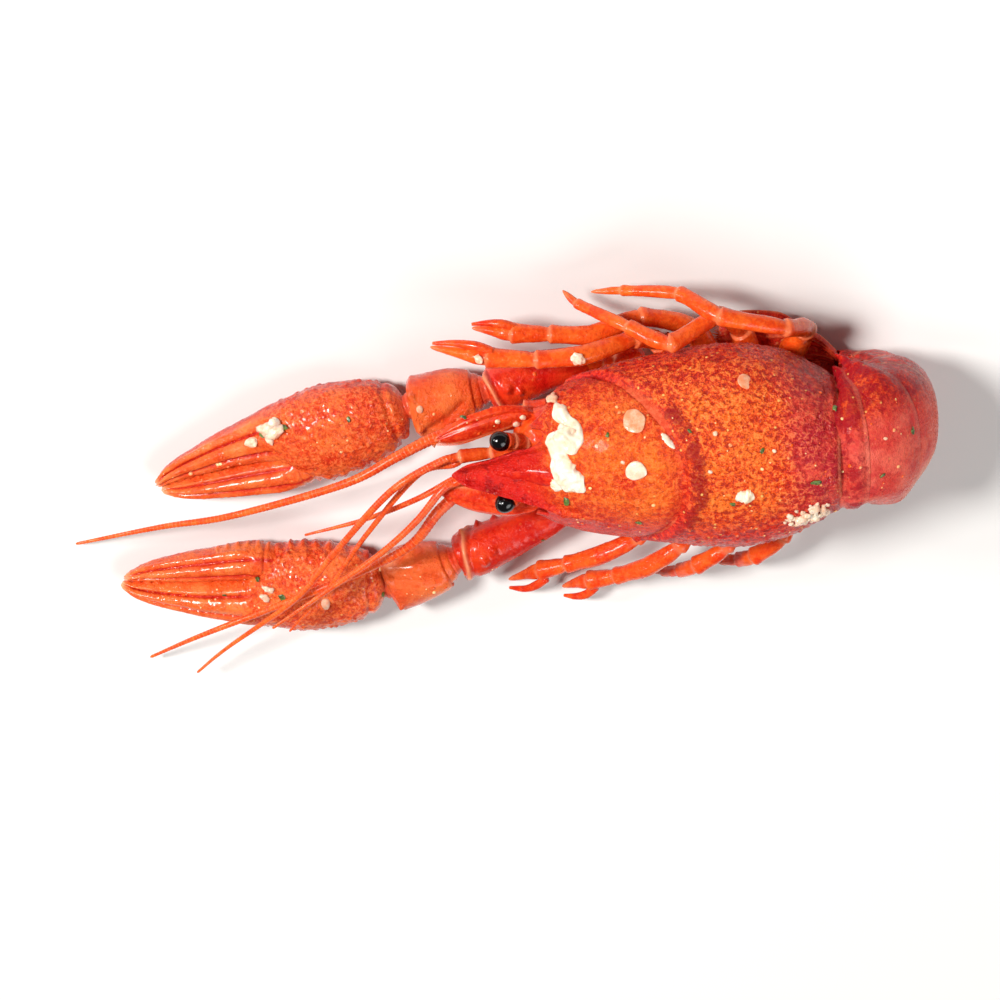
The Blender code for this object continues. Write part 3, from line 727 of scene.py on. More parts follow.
# x, half width, bottom, top of the face that the eyes and feelers grow from; x and radius of the keel
face = {"stations": [(19, 8.0, 9.8, 20.6), (15, 7.6, 10.3, 20.0), (12.5, 6.9, 10.7, 19.0),
                     (11, 6.3, 11.0, 17.9), (9.8, 5.4, 11.5, 17.1), (8.9, 4.0, 12.3, 16.5),
                     (8.2, 2.0, 13.2, 15.8), (8.0, 0.6, 14.0, 15.2)],
        "keel": [(1.2, 0.22), (5, 0.85), (9, 1.5), (13.5, 2.1)], "rows": 90, "columns": 80}


def makeFace():
    # a blunt wedge between the cheeks, dented between eyes and feelers, and the keel under the beak
    share, turn = sweep(face["rows"], face["columns"])
    x, wide, low, high = evenCurves(face["stations"], share)
    side, up = superellipse(turn, 0.85)
    grid = at(x, wide * side, (low + high) / 2 + (high - low) / 2 * up)
    front = fade(share, 0.35, 0.6)
    dent = (0.5 * hump(grid[..., 2], 14.0, 0.7) + 0.35 * hump(np.abs(grid[..., 1]), 3.4, 0.6)) * front
    grid = raised(grid, gridNormals(grid), 0.8 * (0.2 * smoothNoise(grid, 1.3, 18) - dent))
    first, last = face["keel"][0][0], face["keel"][-1][0]
    x = np.linspace(first, last, 60)
    radius = curve(face["keel"], x) * roundedEnds((x - first) / (last - first), 0.06, 0.02)
    hollow = 0.62 * fade(x, 0.6, 3) * fade(x, 13, 9) + shell["wall"]
    keel = tube(at(x, 0, curve(shell["tops"], x) - hollow - 0.75 * radius + 0.1), radius, 30, 0.9)
    # the deeper red in the dents is painted shade
    bodies = [gridBody(grid, {"deep": 0.35 + 0.5 * dent, "bright": 0.4 * front}),
              gridBody(keel, {"deep": 0.9, "bright": 0.0})]
    makePiece("face_under_beak", bodies, legRed, "carapace")


makeCore()
makeSternum()
makeFace()
print("body made")


# the tail: places round its curl are degrees from its top, backwards and down

tail = {
    "centre": (46.8, 0.0, 12.9), "radii": [(0, 13.35), (40, 13.0), (75, 12.7), (180, 12.9)],
    "arcs": [10, 34, 37.5, 34.5, 32, 32], "flaps": [1.7, 1.8, 1.8, 1.6, 1.4, 0.7], "arch": 0.68, "sway": 0.9,
    "halfWidths": [(-10, 7.5), (0, 7.8), (12, 8.5), (30, 8.9), (50, 8.1), (72, 7.3), (95, 7.1), (140, 6.7),
                   (160, 6.2), (180, 5.5)],
    "depths": [(0, 10.4), (60, 10.0), (120, 8.4), (180, 6.0)],
    "cream": [(20, 54), (48, 44), (70, 24), (84, 8)],
    "reach": 132, "wall": 0.2, "rows": 58, "columns": 128, "meatRows": 130, "meatColumns": 64,
}


def tailPlace(degrees, back, aside):
    # the point so many degrees round the curl, so far in from
    # its back, so far to the right; never below the table
    turn = np.radians(degrees)
    out = curve(tail["radii"], degrees) - back
    x, z = tail["centre"][0] + np.sin(turn) * out, tail["centre"][2] + np.cos(turn) * out
    # the left side is drawn in at the front and flares out at one corner
    left = fade(-aside, 4.5, 8.2) * (1.2 * hump(degrees, 14, 17) - 1.3 * hump(degrees, 48, 8))
    sway = tail["sway"] * fade(degrees, -5, 32) * fade(degrees, 150, 70) + left
    return onTable(at(x, aside + sway, z), 0.02)


def tailSection(around, down, wide, depth, flap):
    # across a ring: a broad arch to each side, then a hanging
    # flap that tapers; gives (in from the back, aside)
    side, up = superellipse(np.radians(around), 0.84)
    arch, upper = tail["arch"] * depth, np.abs(around) <= 90
    back = np.where(upper, arch * (1 - up), arch + down * (depth - arch + flap))
    return back, wide * np.where(upper, side, np.sign(around) * (1 + 0.03 * np.sin(math.pi * down)))


def makeTailRing(number, start, arc, flap, finish):
    # one ring: its front edge tucked under the ring before, a groove, a low dome and a pale raised rear rim
    around = np.linspace(-tail["reach"], tail["reach"], tail["columns"])[None, :]
    share, away = np.linspace(0, 1, tail["rows"])[:, None], np.abs(around)
    down = bounded((away - 90) / (tail["reach"] - 90))
    # its front and rear edges, and the places between them
    first = start - (4.5 if number > 1 else 9.0) * (1 - 0.4 * down) + 0.42 * arc * down**1.6
    first = first + (9 if number == 1 else 3) * hump(away, 84, 22) + 3 * (number == 2) * hump(around, 82, 26)
    last = start + arc + 1.8 + 1.6 * fade(away, 40, 85) - 0.16 * arc * down**2
    if number == len(tail["arcs"]):
        last = np.minimum(last, 179.5) - 15 * fade(away, 52, 84)
    degrees = first + (last - first) * share
    within = (degrees - start) / arc
    rounding = np.sqrt(bounded(np.sin(math.pi * (0.06 + 0.88 * share))))
    wide, depth = curve(tail["halfWidths"], degrees), curve(tail["depths"], degrees)
    back, aside = tailSection(around, down, wide, depth, flap * rounding - 1.1 * (1 - rounding))
    plain = tailPlace(degrees, back, aside)
    # the relief: groove and dome, the line before the rim, a fold along each side, pores and noise
    lift = 0.04 * fade(within, 0.2, 1) - 0.26 * fade(within, 0.12, -0.12) + 0.1 * hump(within, 0.62, 0.3)
    lift -= 0.03 * hump(within, 0.9, 0.03) * fade(away, 100, 70)
    lift += 0.3 * hump(down, 0.12, 0.16) * np.sin(math.pi * bounded(within)) - 0.25 * hump(down, 0.42, 0.18)
    lift += 0.07 * smoothNoise(plain, 3.2, 60 + number) + 0.05 * grains(plain, 0.75, 80 + number)
    lift -= 0.07 * grains(plain, 1.25, 70 + number, 0.3) * fade(within, 0.95, 0.85)
    normals = facing(gridNormals(plain, False), plain - np.array(tail["centre"]) * [1, 0, 1])
    grid = onTable(raised(plain, normals, lift))
    # a cream patch at the left rear corner, pale rims and an orange patch on the right; deeper red and crimson
    # as painted shade on the right side, the hanging flaps, the tucked-in front of each ring and the rings
    # curled under
    wander, speck = smoothNoise(plain, 2.6, 90 + number), smoothNoise(plain, 0.8, 96 + number)
    rimPlace = degrees + 3 * wander + 2 * speck
    creamLine = around + curve(tail["cream"], degrees)
    cream = hump(np.hypot((degrees - 60) / 24, creamLine / 17), 0, 1) + 0.12 * speck + 0.15 * wander
    rim = fade(within, 0.93, 1.0) * (1 - 0.3 * down) + 0.5 * fade(share, 0.1, 0) * fade(away, 92, 110)
    orange = hump(np.hypot((around - 58) / 22, (degrees - 12) / 14), 0, 1)
    pink = bounded(fade(np.abs(around + 14), 72, 24) * (0.9 + 0.5 * wander))
    marks = {
        "pink": pink * (1 - 0.5 * fade(degrees, 70, 120)),
        "bright": orange * (0.8 + 0.8 * wander) + 0.5 * hump(rimPlace, 74, 11) * hump(around, -5, 45),
        # deep: painted shade on the tucked-in front of each ring, the rings curled under the body, the hanging
        # flaps and the right side
        "deep": 0.15 * fade(within, 0.3, 0.1) + 0.4 * fade(degrees, 80, 140) + 0.3 * down
        + 1.1 * fade(around + 9 * wander, 10, 36),
        "pale": (0.05 + 0.2 * fade(degrees, 48, 75)) * rim * (1 + 0.5 * wander) + 0.32 * fade(cream, 0.1, 1.1)
        + 0.5 * hump(rimPlace, 75, 3.5) * fade(-around, -10, 50),
        "plain": 0.7 * fade(np.abs(around + 14), 66, 30) + 0.2 * wander,
        # crimson: painted shade at the front of the first ring and on the right side, and faint crimson left
        # of the top
        "crimson": 0.6 * hump(degrees, 3, 9) + 0.15 * hump(around, -20, 40) + 0.7 * fade(around, 22, 50),
    }
    makePiece(f"tail_shell_{number}", [gridBody(grid, marks, False)], finish, f"tail_ring_{number}",
              wall=tail["wall"])


def makeTail():
    # the rings, each from where the one before ends
    ends = np.cumsum(tail["arcs"])
    for number, (end, arc, flap) in enumerate(zip(ends, tail["arcs"], tail["flaps"]), 1):
        makeTailRing(number, end - arc, arc, flap, shellPink if number <= 3 else shellRed)
    # the meat and belly skin inside the rings, carried round the curl as one smooth closed body
    share, turn = sweep(tail["meatRows"], tail["meatColumns"])
    degrees = -12 + 182 * share
    wide, depth = curve(tail["halfWidths"], degrees) - 0.75, curve(tail["depths"], degrees) - 0.2
    middle, rounding = tail["arch"] * depth, roundedEnds(share, 0.05, 0.04)
    side, up = superellipse(turn, 0.8)
    fold = sum(hump(degrees, place, 2.6) for place in ends[:-1])
    reach = np.where(up > 0, middle - 0.75, depth - middle)
    back = middle - reach * up * rounding - 0.45 * bounded(-up) * fold
    marks = {"pale": 0.3 * fold, "deep": np.maximum(fade(np.abs(side), 0.5, 0.85), fade(degrees, 50, 22))}
    body = gridBody(tailPlace(degrees, back, wide * side * rounding), marks)
    makePiece("tail_meat", [body], bellyCream, *(f"tail_ring_{number}" for number in range(1, 1 + len(ends))))


makeTail()
print("tail made")


# the tail fan, folded forward under the body; stations of a blade are x, y, z, half width, half thickness
fan = {
    "telson": [(49.2, 0, 2.3, 4.1, 1.2), (46.5, 0, 1.75, 4.7, 1.5), (43.4, 0, 1.25, 4.8, 1.0),
               (39.5, 0, 1.05, 4.4, 0.8), (36.3, 0, 0.95, 3.9, 0.6), (34.9, 0, 0.9, 2.6, 0.35)],
    "inner": [(48.6, 5.0, 3.0, 0.8, 0.7), (46.5, 5.9, 3.1, 1.1, 0.65), (44.3, 6.1, 2.9, 1.7, 0.5),
              (41.5, 5.7, 2.65, 3.0, 0.42), (37.5, 5.2, 2.5, 3.3, 0.36), (35.0, 4.9, 2.4, 2.5, 0.28),
              (34.2, 4.8, 2.4, 1.2, 0.16)],
    "outer": [(49.0, 5.3, 3.9, 0.8, 0.7), (46.7, 7.6, 3.8, 0.95, 0.6), (44.3, 8.8, 3.75, 1.6, 0.45),
              (41.5, 9.1, 3.85, 3.0, 0.38), (37.5, 9.2, 3.8, 3.4, 0.34), (35.2, 9.2, 3.7, 2.6, 0.26),
              (34.2, 9.2, 3.7, 1.3, 0.16)],
    "rows": 90, "columns": 56, "fringe": 44, "fringeLength": 1.5, "fringeWidth": 0.055,
}


def bladeAt(stations, side, share, across):
    # the middle surface of a blade: share along it, across from -1 to 1, cupped a little downwards
    x, y, z, half, thick = evenCurves(stations, share)
    return at(x, side * y + half * across, z - 0.25 * across**2), thick


def makeBlade(name, stations, side, seam=0):
    # a thin closed blade with a raised midrib, two fainter
    # ribs, a seam across the outer pair and a pale edge
    share, turn = sweep(fan["rows"], fan["columns"])
    across, up = np.sin(turn), power(np.cos(turn), 0.7)
    ends = roundedEnds(share, 0.03, 0.06)
    middle, thick = bladeAt(stations, side, share, across * ends)
    ribs = hump(across, 0, 0.09) + 0.6 * hump(np.abs(across), 0.42, 0.07)
    relief = 0.28 * ribs * fade(share, 0.02, 0.2) * fade(share, 0.97, 0.8)
    relief -= 0.22 * seam * hump(share + 0.03 * np.cos(9 * across), 0.66, 0.018)
    relief += 0.05 * np.sin(40 * across) * fade(share, 0.7, 0.85) + 0.04 * smoothNoise(middle, 1.2, 12)
    height = up * (thick * ends * np.sqrt(np.clip(1.15 - across**2, 0.05, 1)) + relief)
    edge = np.maximum(fade(share, 0.9, 1.0), fade(np.abs(across), 0.9, 1.0))
    marks = {"pale": (0.35 + 0.3 * smoothNoise(middle, 1.6, 14)) * edge + 0.12 * ribs,
             "deep": 0.35 * (1 - edge), "bright": 0.3 * ribs}
    makePiece(f"{name}_plate", [gridBody(onTable(raised(middle, [0, 0, 1], height)), marks)], shellRed, name)


def fringeOf(stations, side, salt):
    # hairs along the rounded free end of a blade, splayed outwards
    across = np.linspace(-1, 1, fan["fringe"])
    middle = bladeAt(stations, side, 0.985 - 0.2 * across**2, across)[0]
    chance = cellNumber(at(np.arange(across.size), salt, 0), 3)
    ways = at(-1, 0.55 * across + 0.3 * (chance - 0.5), 0.25 * (chance - 0.5))
    lengths = fan["fringeLength"] * (0.7 + 0.4 * chance) * (1 - 0.35 * np.abs(across))
    return hairs(middle, ways, lengths, fan["fringeWidth"])


def makeFan():
    # the middle plate, then two blades on each side, all with hairs along their ends
    makeBlade("telson", fan["telson"], 1)
    fringes = [fringeOf(fan["telson"], 1, 1)]
    for word, side in sides.items():
        for seam, kind in enumerate(("inner", "outer")):
            makeBlade(f"tail_blade_{kind}_{word}", fan[kind], side, seam)
            fringes.append(fringeOf(fan[kind], side, 2 + side))
    makePiece("tail_fan_hairs", fringes, legRed)


makeFan()
print("tail fan made")


# the claws; rows of a shape are share of the length,
# outward shift of the middle, half width, half thickness
claws = {
    # start and end of the arm, start and end of the wrist, tip of the palm
    "right": ((18.4, 8.4, 4.7), (5.4, 5.5, 4.5), (4.8, 5.3, 4.4), (-4.4, 4.0, 4.1), (-37.0, -4.6, 2.3)),
    "left": ((15.2, -10.9, 4.6), (-0.2, -17.2, 4.5), (-0.8, -17.4, 4.4), (-9.2, -20.2, 4.1),
             (-43.2, -17.2, 2.3)),
    "wristGap": 0.35, "skinOverlap": 1.6, "wristSkin": 1.75, "elbowSkin": 1.9,
    "armSize": (150, 96), "wristSize": (110, 110), "palmSize": (330, 170), "fingerSize": (190, 96),
    "skinSize": (40, 36),
    "armShape": [(0, 0, 1.3, 1.4), (0.12, 0, 2.0, 2.1), (0.5, 0.2, 2.6, 2.8), (0.85, 0, 3.1, 3.3),
                 (0.96, 0, 2.9, 3.1), (1, 0, 2.3, 2.6)],
    "wristShape": [(0, 0, 1.7, 1.9), (0.15, 0, 3.0, 3.0), (0.55, -0.3, 3.9, 3.6), (0.88, -0.3, 3.95, 3.55),
                   (0.98, -0.2, 3.3, 3.1), (1, 0, 2.8, 2.8)],
    "palmShape": [(0, 0, 1.9, 2.1), (0.05, 0, 3.8, 3.3), (0.18, 0.1, 5.4, 4.0), (0.32, 0.2, 5.9, 4.15),
                  (0.4, 0.35, 5.55, 3.95), (0.46, 1.2, 4.45, 3.6), (0.53, 2.0, 3.3, 3.1),
                  (0.66, 2.05, 2.5, 2.5), (0.82, 1.7, 1.8, 1.9), (0.94, 1.1, 1.05, 1.2), (1, 0.3, 0.4, 0.5)],
    "fingerShape": [(0.36, -2.6, 1.2, 1.2), (0.41, -3.1, 2.0, 2.35), (0.47, -3.25, 2.35, 2.75),
                    (0.55, -3.05, 2.35, 2.55), (0.65, -2.6, 2.15, 2.25), (0.78, -2.0, 1.75, 1.85),
                    (0.91, -1.3, 1.15, 1.3), (0.99, -0.45, 0.45, 0.6)],
    # spikes: share of the length, angle, width of the foot, height
    "wristSpikes": [(0.8, -72, 1.3, 1.5), (0.5, -84, 0.9, 0.8), (0.9, -25, 0.7, 0.6), (0.92, 38, 0.7, 0.5),
                    (0.88, -150, 0.8, 0.7)],
    "armSpikes": [(0.8, 10, 0.8, 0.8), (0.7, -6, 0.7, 0.6), (0.88, -95, 0.8, 0.8), (0.62, -108, 0.7, 0.6),
                  (0.75, -112, 0.7, 0.7), (0.5, -108, 0.6, 0.5)],
}


def spikes(mapped, table, radius):
    # small cones: each falls straight from its point to its foot, height * (1 - distance / width) ^ 1.3
    length, total = mapped[0].max(), 0
    for place, angle, width, height in table:
        far = np.hypot(mapped[0] - place * length, mapped[1] - math.radians(angle) * radius)
        total = total + height * bounded(1 - far / width) ** 1.3
    return total


def limbPiece(name, node, finish, span, shape, side, relief, marks, size, caps=(0.035, 0.02), square=0.9):
    # a claw's part: its outline carried from start to end, shifted, widened and thickened as the shape says,
    # then relief added along its own normals; angle 0 is on top, 90 faces outwards, -90 towards the body
    start, end = (np.array(point, float) for point in span)
    length = np.linalg.norm(end - start)
    forward = (end - start) / length
    outward = side * unit(np.array([forward[1], -forward[0], 0]))
    upward = np.cross(forward, outward)
    upward = upward * np.sign(upward[2])
    first, last = shape[0][0], shape[-1][0]
    even = np.linspace(0, 1, size[0])
    share = (first + (last - first) * (0.75 * even + 0.25 * (0.5 - 0.5 * np.cos(math.pi * even))))[:, None]
    degrees = np.linspace(-180, 180, size[1], endpoint=False)[None, :]
    shift, wide, thick = curves(shape, share)
    ends = roundedEnds((share - first) / (last - first), *caps)
    across, up = superellipse(np.radians(degrees), square)
    grid = start + share[..., None] * (end - start) + shift[..., None] * outward
    grid = grid + (wide * across * ends)[..., None] * outward + (thick * up * ends)[..., None] * upward
    normals = facing(gridNormals(grid), grid - grid.mean(axis=1, keepdims=True))
    mapped = (share * length + 0 * degrees, np.radians(degrees) * 0.5 * (wide + thick))
    grid = onTable(raised(grid, normals, relief(share, degrees, mapped, grid) * np.minimum(ends + 0.15, 1)))
    makePiece(name, [gridBody(grid, marks(share, degrees, grid))], finish, node)


# Each relief below takes the share of the length, the angle, the place along and round in millimetres and the
# points, and gives millimetres; each set of marks takes the share, the angle and the points.

def palmRelief(share, degrees, mapped, grid):
    # grains all over, teeth along the palm's inner edge, and on the fixed finger two ridges with pitted
    # grooves between them and a toothed cutting edge
    palm, finger = 1 - fade(share, 0.42, 0.54), fade(share, 0.47, 0.56)
    relief = palm * (0.22 * grains(grid, 0.95, 31) + 0.1 * grains(grid, 0.55, 35)) * fade(share, 0.01, 0.06)
    relief += 0.05 * grains(grid, 0.6, 37) * finger
    large, small = teeth((share - 0.05) / 0.38, 8, 3) * fade(share, 0.05, 0.1), teeth(share, 15, 4)
    relief += (0.55 * large * hump(degrees, -88, 13) + 0.28 * small * hump(degrees, -62, 8)) * palm
    relief += (0.26 * hump(degrees, 6, 11) + 0.2 * hump(degrees, 58, 10)) * finger
    relief -= 0.42 * (hump(degrees, -22, 7) + hump(degrees, 33, 6)) * finger * fade(share, 0.99, 0.93)
    relief -= 0.16 * teeth(share, 30, 6) * (hump(degrees, -22, 6) + hump(degrees, 33, 6)) * finger
    cutting = teeth(share, 26, 1.5) * (0.6 + 0.4 * np.sin(23 * share))
    relief += 0.5 * cutting * hump(degrees, -90, 16) * fade(share, 0.52, 0.57) * fade(share, 1, 0.95)
    # a knuckle where the movable finger turns, and a groove
    # behind the palm's rim, open along the seam below
    relief += 0.3 * hump(share, 0.455, 0.02) * hump(degrees, 0, 60) * hump(mapped[1], -2.5, 3)
    relief -= 0.35 * hump(share, 0.06, 0.012) * (degrees > -180)
    return relief + 0.12 * smoothNoise(grid, 4, 15) + 0.05 * smoothNoise(grid, 1.6, 16)


def palmMarks(share, degrees, grid):
    # painted shade below, on the sides and in the finger's grooves, bright on top, pale at the tip and the
    # rear rim
    wander, finger, away = smoothNoise(grid, 2.2, 51), fade(share, 0.46, 0.6), np.abs(degrees)
    grooves = hump(degrees, -22, 8) + hump(degrees, 33, 7)
    return {"deep": finger * 1.1 * grooves + 0.8 * fade(np.abs(degrees + 8), 52, 105) + 0.25 * wander,
            "bright": (0.4 + 0.5 * finger + 0.5 * wander) * fade(away, 100, 50) * (1 - grooves),
            "pale": 0.6 * fade(share, 0.97, 0.997) + 0.35 * fade(share, 0.035, 0.0), "plain": 0.6 * finger}


def fingerRelief(share, degrees, mapped, grid):
    # grains, two ridges with grooves beside them, teeth behind and a toothed cutting edge
    finger = fade(share, 0.48, 0.54)
    relief = 0.08 * grains(grid, 0.7, 41)
    relief += (0.24 * hump(degrees, 0, 12) + 0.2 * hump(degrees, -52, 10)) * finger
    relief -= 0.36 * (hump(degrees, -26, 7) + hump(degrees, 28, 7)) * finger * fade(share, 0.97, 0.92)
    relief += 0.3 * teeth(share, 26, 4) * hump(degrees, -90, 14) * fade(share, 0.7, 0.6)
    cutting = teeth(share, 24, 1.5, 0.7) * (0.6 + 0.4 * np.cos(31 * share))
    relief += 0.42 * cutting * hump(degrees, 90, 16) * finger * fade(share, 0.98, 0.93)
    return relief - 0.2 * hump(share, 0.455, 0.006) + 0.06 * smoothNoise(grid, 2.4, 19)


def fingerMarks(share, degrees, grid):
    # painted shade below and in the grooves, bright on top, pale at the tip
    wander, under = smoothNoise(grid, 2.0, 57), fade(np.abs(degrees), 70, 125)
    grooves = hump(degrees, -26, 8) + hump(degrees, 28, 8)
    return {"deep": 0.1 + 0.3 * wander + grooves + 0.8 * under,
            "bright": bounded(0.7 + 0.4 * wander) * (1 - grooves) * (1 - under),
            "pale": 0.6 * fade(share, 0.955, 0.985), "plain": 0.5}


def wristRelief(share, degrees, mapped, grid):
    # a slanting groove on top, grains, spikes, and a groove and a rim at the ends
    groove = hump(degrees + 60 * (share - 0.4), -6, 9) * fade(share, 0.15, 0.35) * fade(share, 0.95, 0.75)
    relief = -0.4 * groove + 0.05 * grains(grid, 0.8, 45) + 0.1 * smoothNoise(grid, 2.8, 25)
    relief += spikes(mapped, claws["wristSpikes"], 3.6)
    return relief - 0.3 * hump(share, 0.1, 0.03) + 0.12 * hump(share, 0.92, 0.03)


def wristMarks(share, degrees, grid):
    # painted shade below and on the sides, bright on top, pale at the large spike and the rims
    wander, away = smoothNoise(grid, 2.6, 61), np.abs(degrees)
    tips = hump(np.hypot((share - 0.82) / 0.11, (degrees + 72) / 22), 0, 1)
    return {"deep": 0.8 * fade(away, 45, 110) + 0.25 * wander,
            "bright": bounded(0.55 + 0.5 * wander) * fade(away, 120, 60),
            "pale": 0.8 * tips + 0.35 * fade(share, 0.97, 1.0) + 0.2 * fade(share, 0.04, 0), "plain": 0.75}


def armRelief(share, degrees, mapped, grid):
    # grains, a slanting rim with a groove behind it, and spikes
    slant = share - 0.0009 * degrees
    relief = 0.06 * grains(grid, 0.8, 47) + 0.1 * smoothNoise(grid, 3, 27)
    relief += 0.35 * hump(slant, 0.93, 0.022) * fade(np.abs(degrees), 130, 95)
    return relief - 0.2 * hump(slant, 0.885, 0.022) + spikes(mapped, claws["armSpikes"], 2.8)


def armMarks(share, degrees, grid):
    # dark all over, a little brighter at the far end, with a pale rim
    wander, slant = smoothNoise(grid, 2.6, 63), share - 0.0009 * degrees
    return {"deep": 0.8 + 0.4 * wander, "bright": bounded(0.4 * wander) * fade(share, 0.5, 0.8),
            "pale": 0.6 * hump(slant, 0.93, 0.016) * (1 - 0.5 * fade(np.abs(degrees), 90, 150)), "plain": 0.6}


def skinRelief(share, degrees, mapped, grid):
    # fine folds across it
    return 0.12 * np.sin(mapped[0] * 6) + 0.05 * smoothNoise(grid, 1.0, 29)


def skinMarks(share, degrees, grid):
    # a soft red, a little uneven
    return {"pale": 0.1 + 0.1 * smoothNoise(grid, 1.5, 65), "deep": 0.5}


def makeClaw(word, side):
    # arm, wrist, palm and finger, with soft skin in the gaps at the wrist and the elbow
    prefix = f"claw_{word}"
    armStart, armEnd, wristStart, wristEnd, tip = np.array(claws[word])
    onward, forward = unit(tip - wristEnd), unit(wristEnd - wristStart)
    palmStart = wristEnd + onward * claws["wristGap"]
    for kind, finish, span, relief, marks, *rest in (
            ("arm", legRed, (armStart, armEnd), armRelief, armMarks),
            ("wrist", clawOrange, (wristStart, wristEnd), wristRelief, wristMarks),
            ("palm", clawOrange, (palmStart, tip), palmRelief, palmMarks, (0.03, 0.012)),
            ("finger", clawOrange, (palmStart, tip), fingerRelief, fingerMarks, (0.1, 0.03))):
        name, shape, size = f"{prefix}_{kind}", claws[kind + "Shape"], claws[kind + "Size"]
        limbPiece(f"{name}_shell", name, finish, span, shape, side, relief, marks, size, *rest)
    overlap = claws["skinOverlap"]
    elbow = (armEnd + unit(armStart - armEnd) * overlap, wristStart + forward * overlap)
    wrist = (wristEnd - onward * (overlap - 0.3), palmStart + onward * overlap)
    for kind, span, radius in (("wrist", wrist, claws["wristSkin"]), ("elbow", elbow, claws["elbowSkin"])):
        shape = [(place, 0, radius * share, radius * share) for place, share in ((0, 1), (0.5, 0.94), (1, 1))]
        limbPiece(f"{prefix}_{kind}_skin", f"{prefix}_wrist", legRed, span, shape, side, skinRelief,
                  skinMarks, claws["skinSize"], square=1.0)


for word, side in sides.items():
    makeClaw(word, side)
print("claws made")


# limbs of round section: claw bases, walking legs, outer jaws, feelers, eyes

# how a limb looks where nothing else is said
limbLook = {"straight": 0.55, "neck": 0.16, "flare": 0.14, "tip": 0.03, "ridge": 0.07, "flat": 0.86,
            "ring": 0.75, "paleTip": 0.0, "deep": 0.3, "bright": 0.25, "size": (220, 26)}


def limbTube(node, ending, stops, radii, finish=legRed, joints=None, **look):
    # a jointed limb: a slightly flattened tube, in which each part starts narrow and flares towards the rim
    # where the next part begins, with pale rings, low ridges, small bumps and painted shade along its
    # underside
    look = limbLook | look
    points, where, stopPlaces = pathThrough(stops, look["size"][0], look["straight"])
    points = softened(points, 3)
    places = stopPlaces[list(joints or range(1, len(stops) - 1))]
    edges = np.concatenate([[stopPlaces[0] - 3], places, [stopPlaces[-1] + 6]])
    index = np.searchsorted(edges, where, side="right") - 1
    after, before = where - edges[index], edges[index + 1] - where
    flare = look["flare"] * hump(before, 0.15, 1.0) * fade(before, 0, 0.18)
    radius = curve(list(zip(stopPlaces, radii)), where) * (1 - look["neck"] * hump(after, 0, 0.9) + flare)
    # everything below is a grid: rows along the limb, columns round it
    turn, share = sweep(1, look["size"][1])[1], (where / where[-1])[:, None]
    ends = roundedEnds(share, 0.012, look["tip"])
    ring = radius[:, None] * ends * (1 + look["ridge"] * np.cos(2 * turn) + 0.05 * np.cos(3 * turn + 0.8))
    across, upward = pathAxes(points)
    grid = points[:, None] + (ring * np.sin(turn))[..., None] * across[:, None]
    grid = grid + (ring * np.cos(turn) * look["flat"])[..., None] * upward[:, None]
    rough = (0.04 * grains(grid, 0.6, 23) + 0.03 * smoothNoise(grid, 1.2, 71)) * ends
    grid = onTable(raised(grid, unit(grid - points[:, None]), rough))
    joint = hump(np.abs(where[:, None] - places).min(axis=1), 0, 0.28)[:, None]
    wander = smoothNoise(grid, 1.8, 73)
    tip = look["paleTip"] * fade(share, 0.93, 1.0)
    # deeper red at the joints, and painted shade on the underside and lower sides
    marks = {"pale": look["ring"] * joint * fade(share, 0.02, 0.06) + tip,
             "deep": look["deep"] + 0.4 * wander + 0.5 * joint - 0.25 * fade(share, 0.5, 0.9)
             + 0.7 * fade(np.cos(turn), 0.35, -0.5),
             "bright": look["bright"] + 0.35 * wander, "plain": 0.3}
    makePiece(node + ending, [gridBody(grid, marks)], finish, *([node] if ending else []))


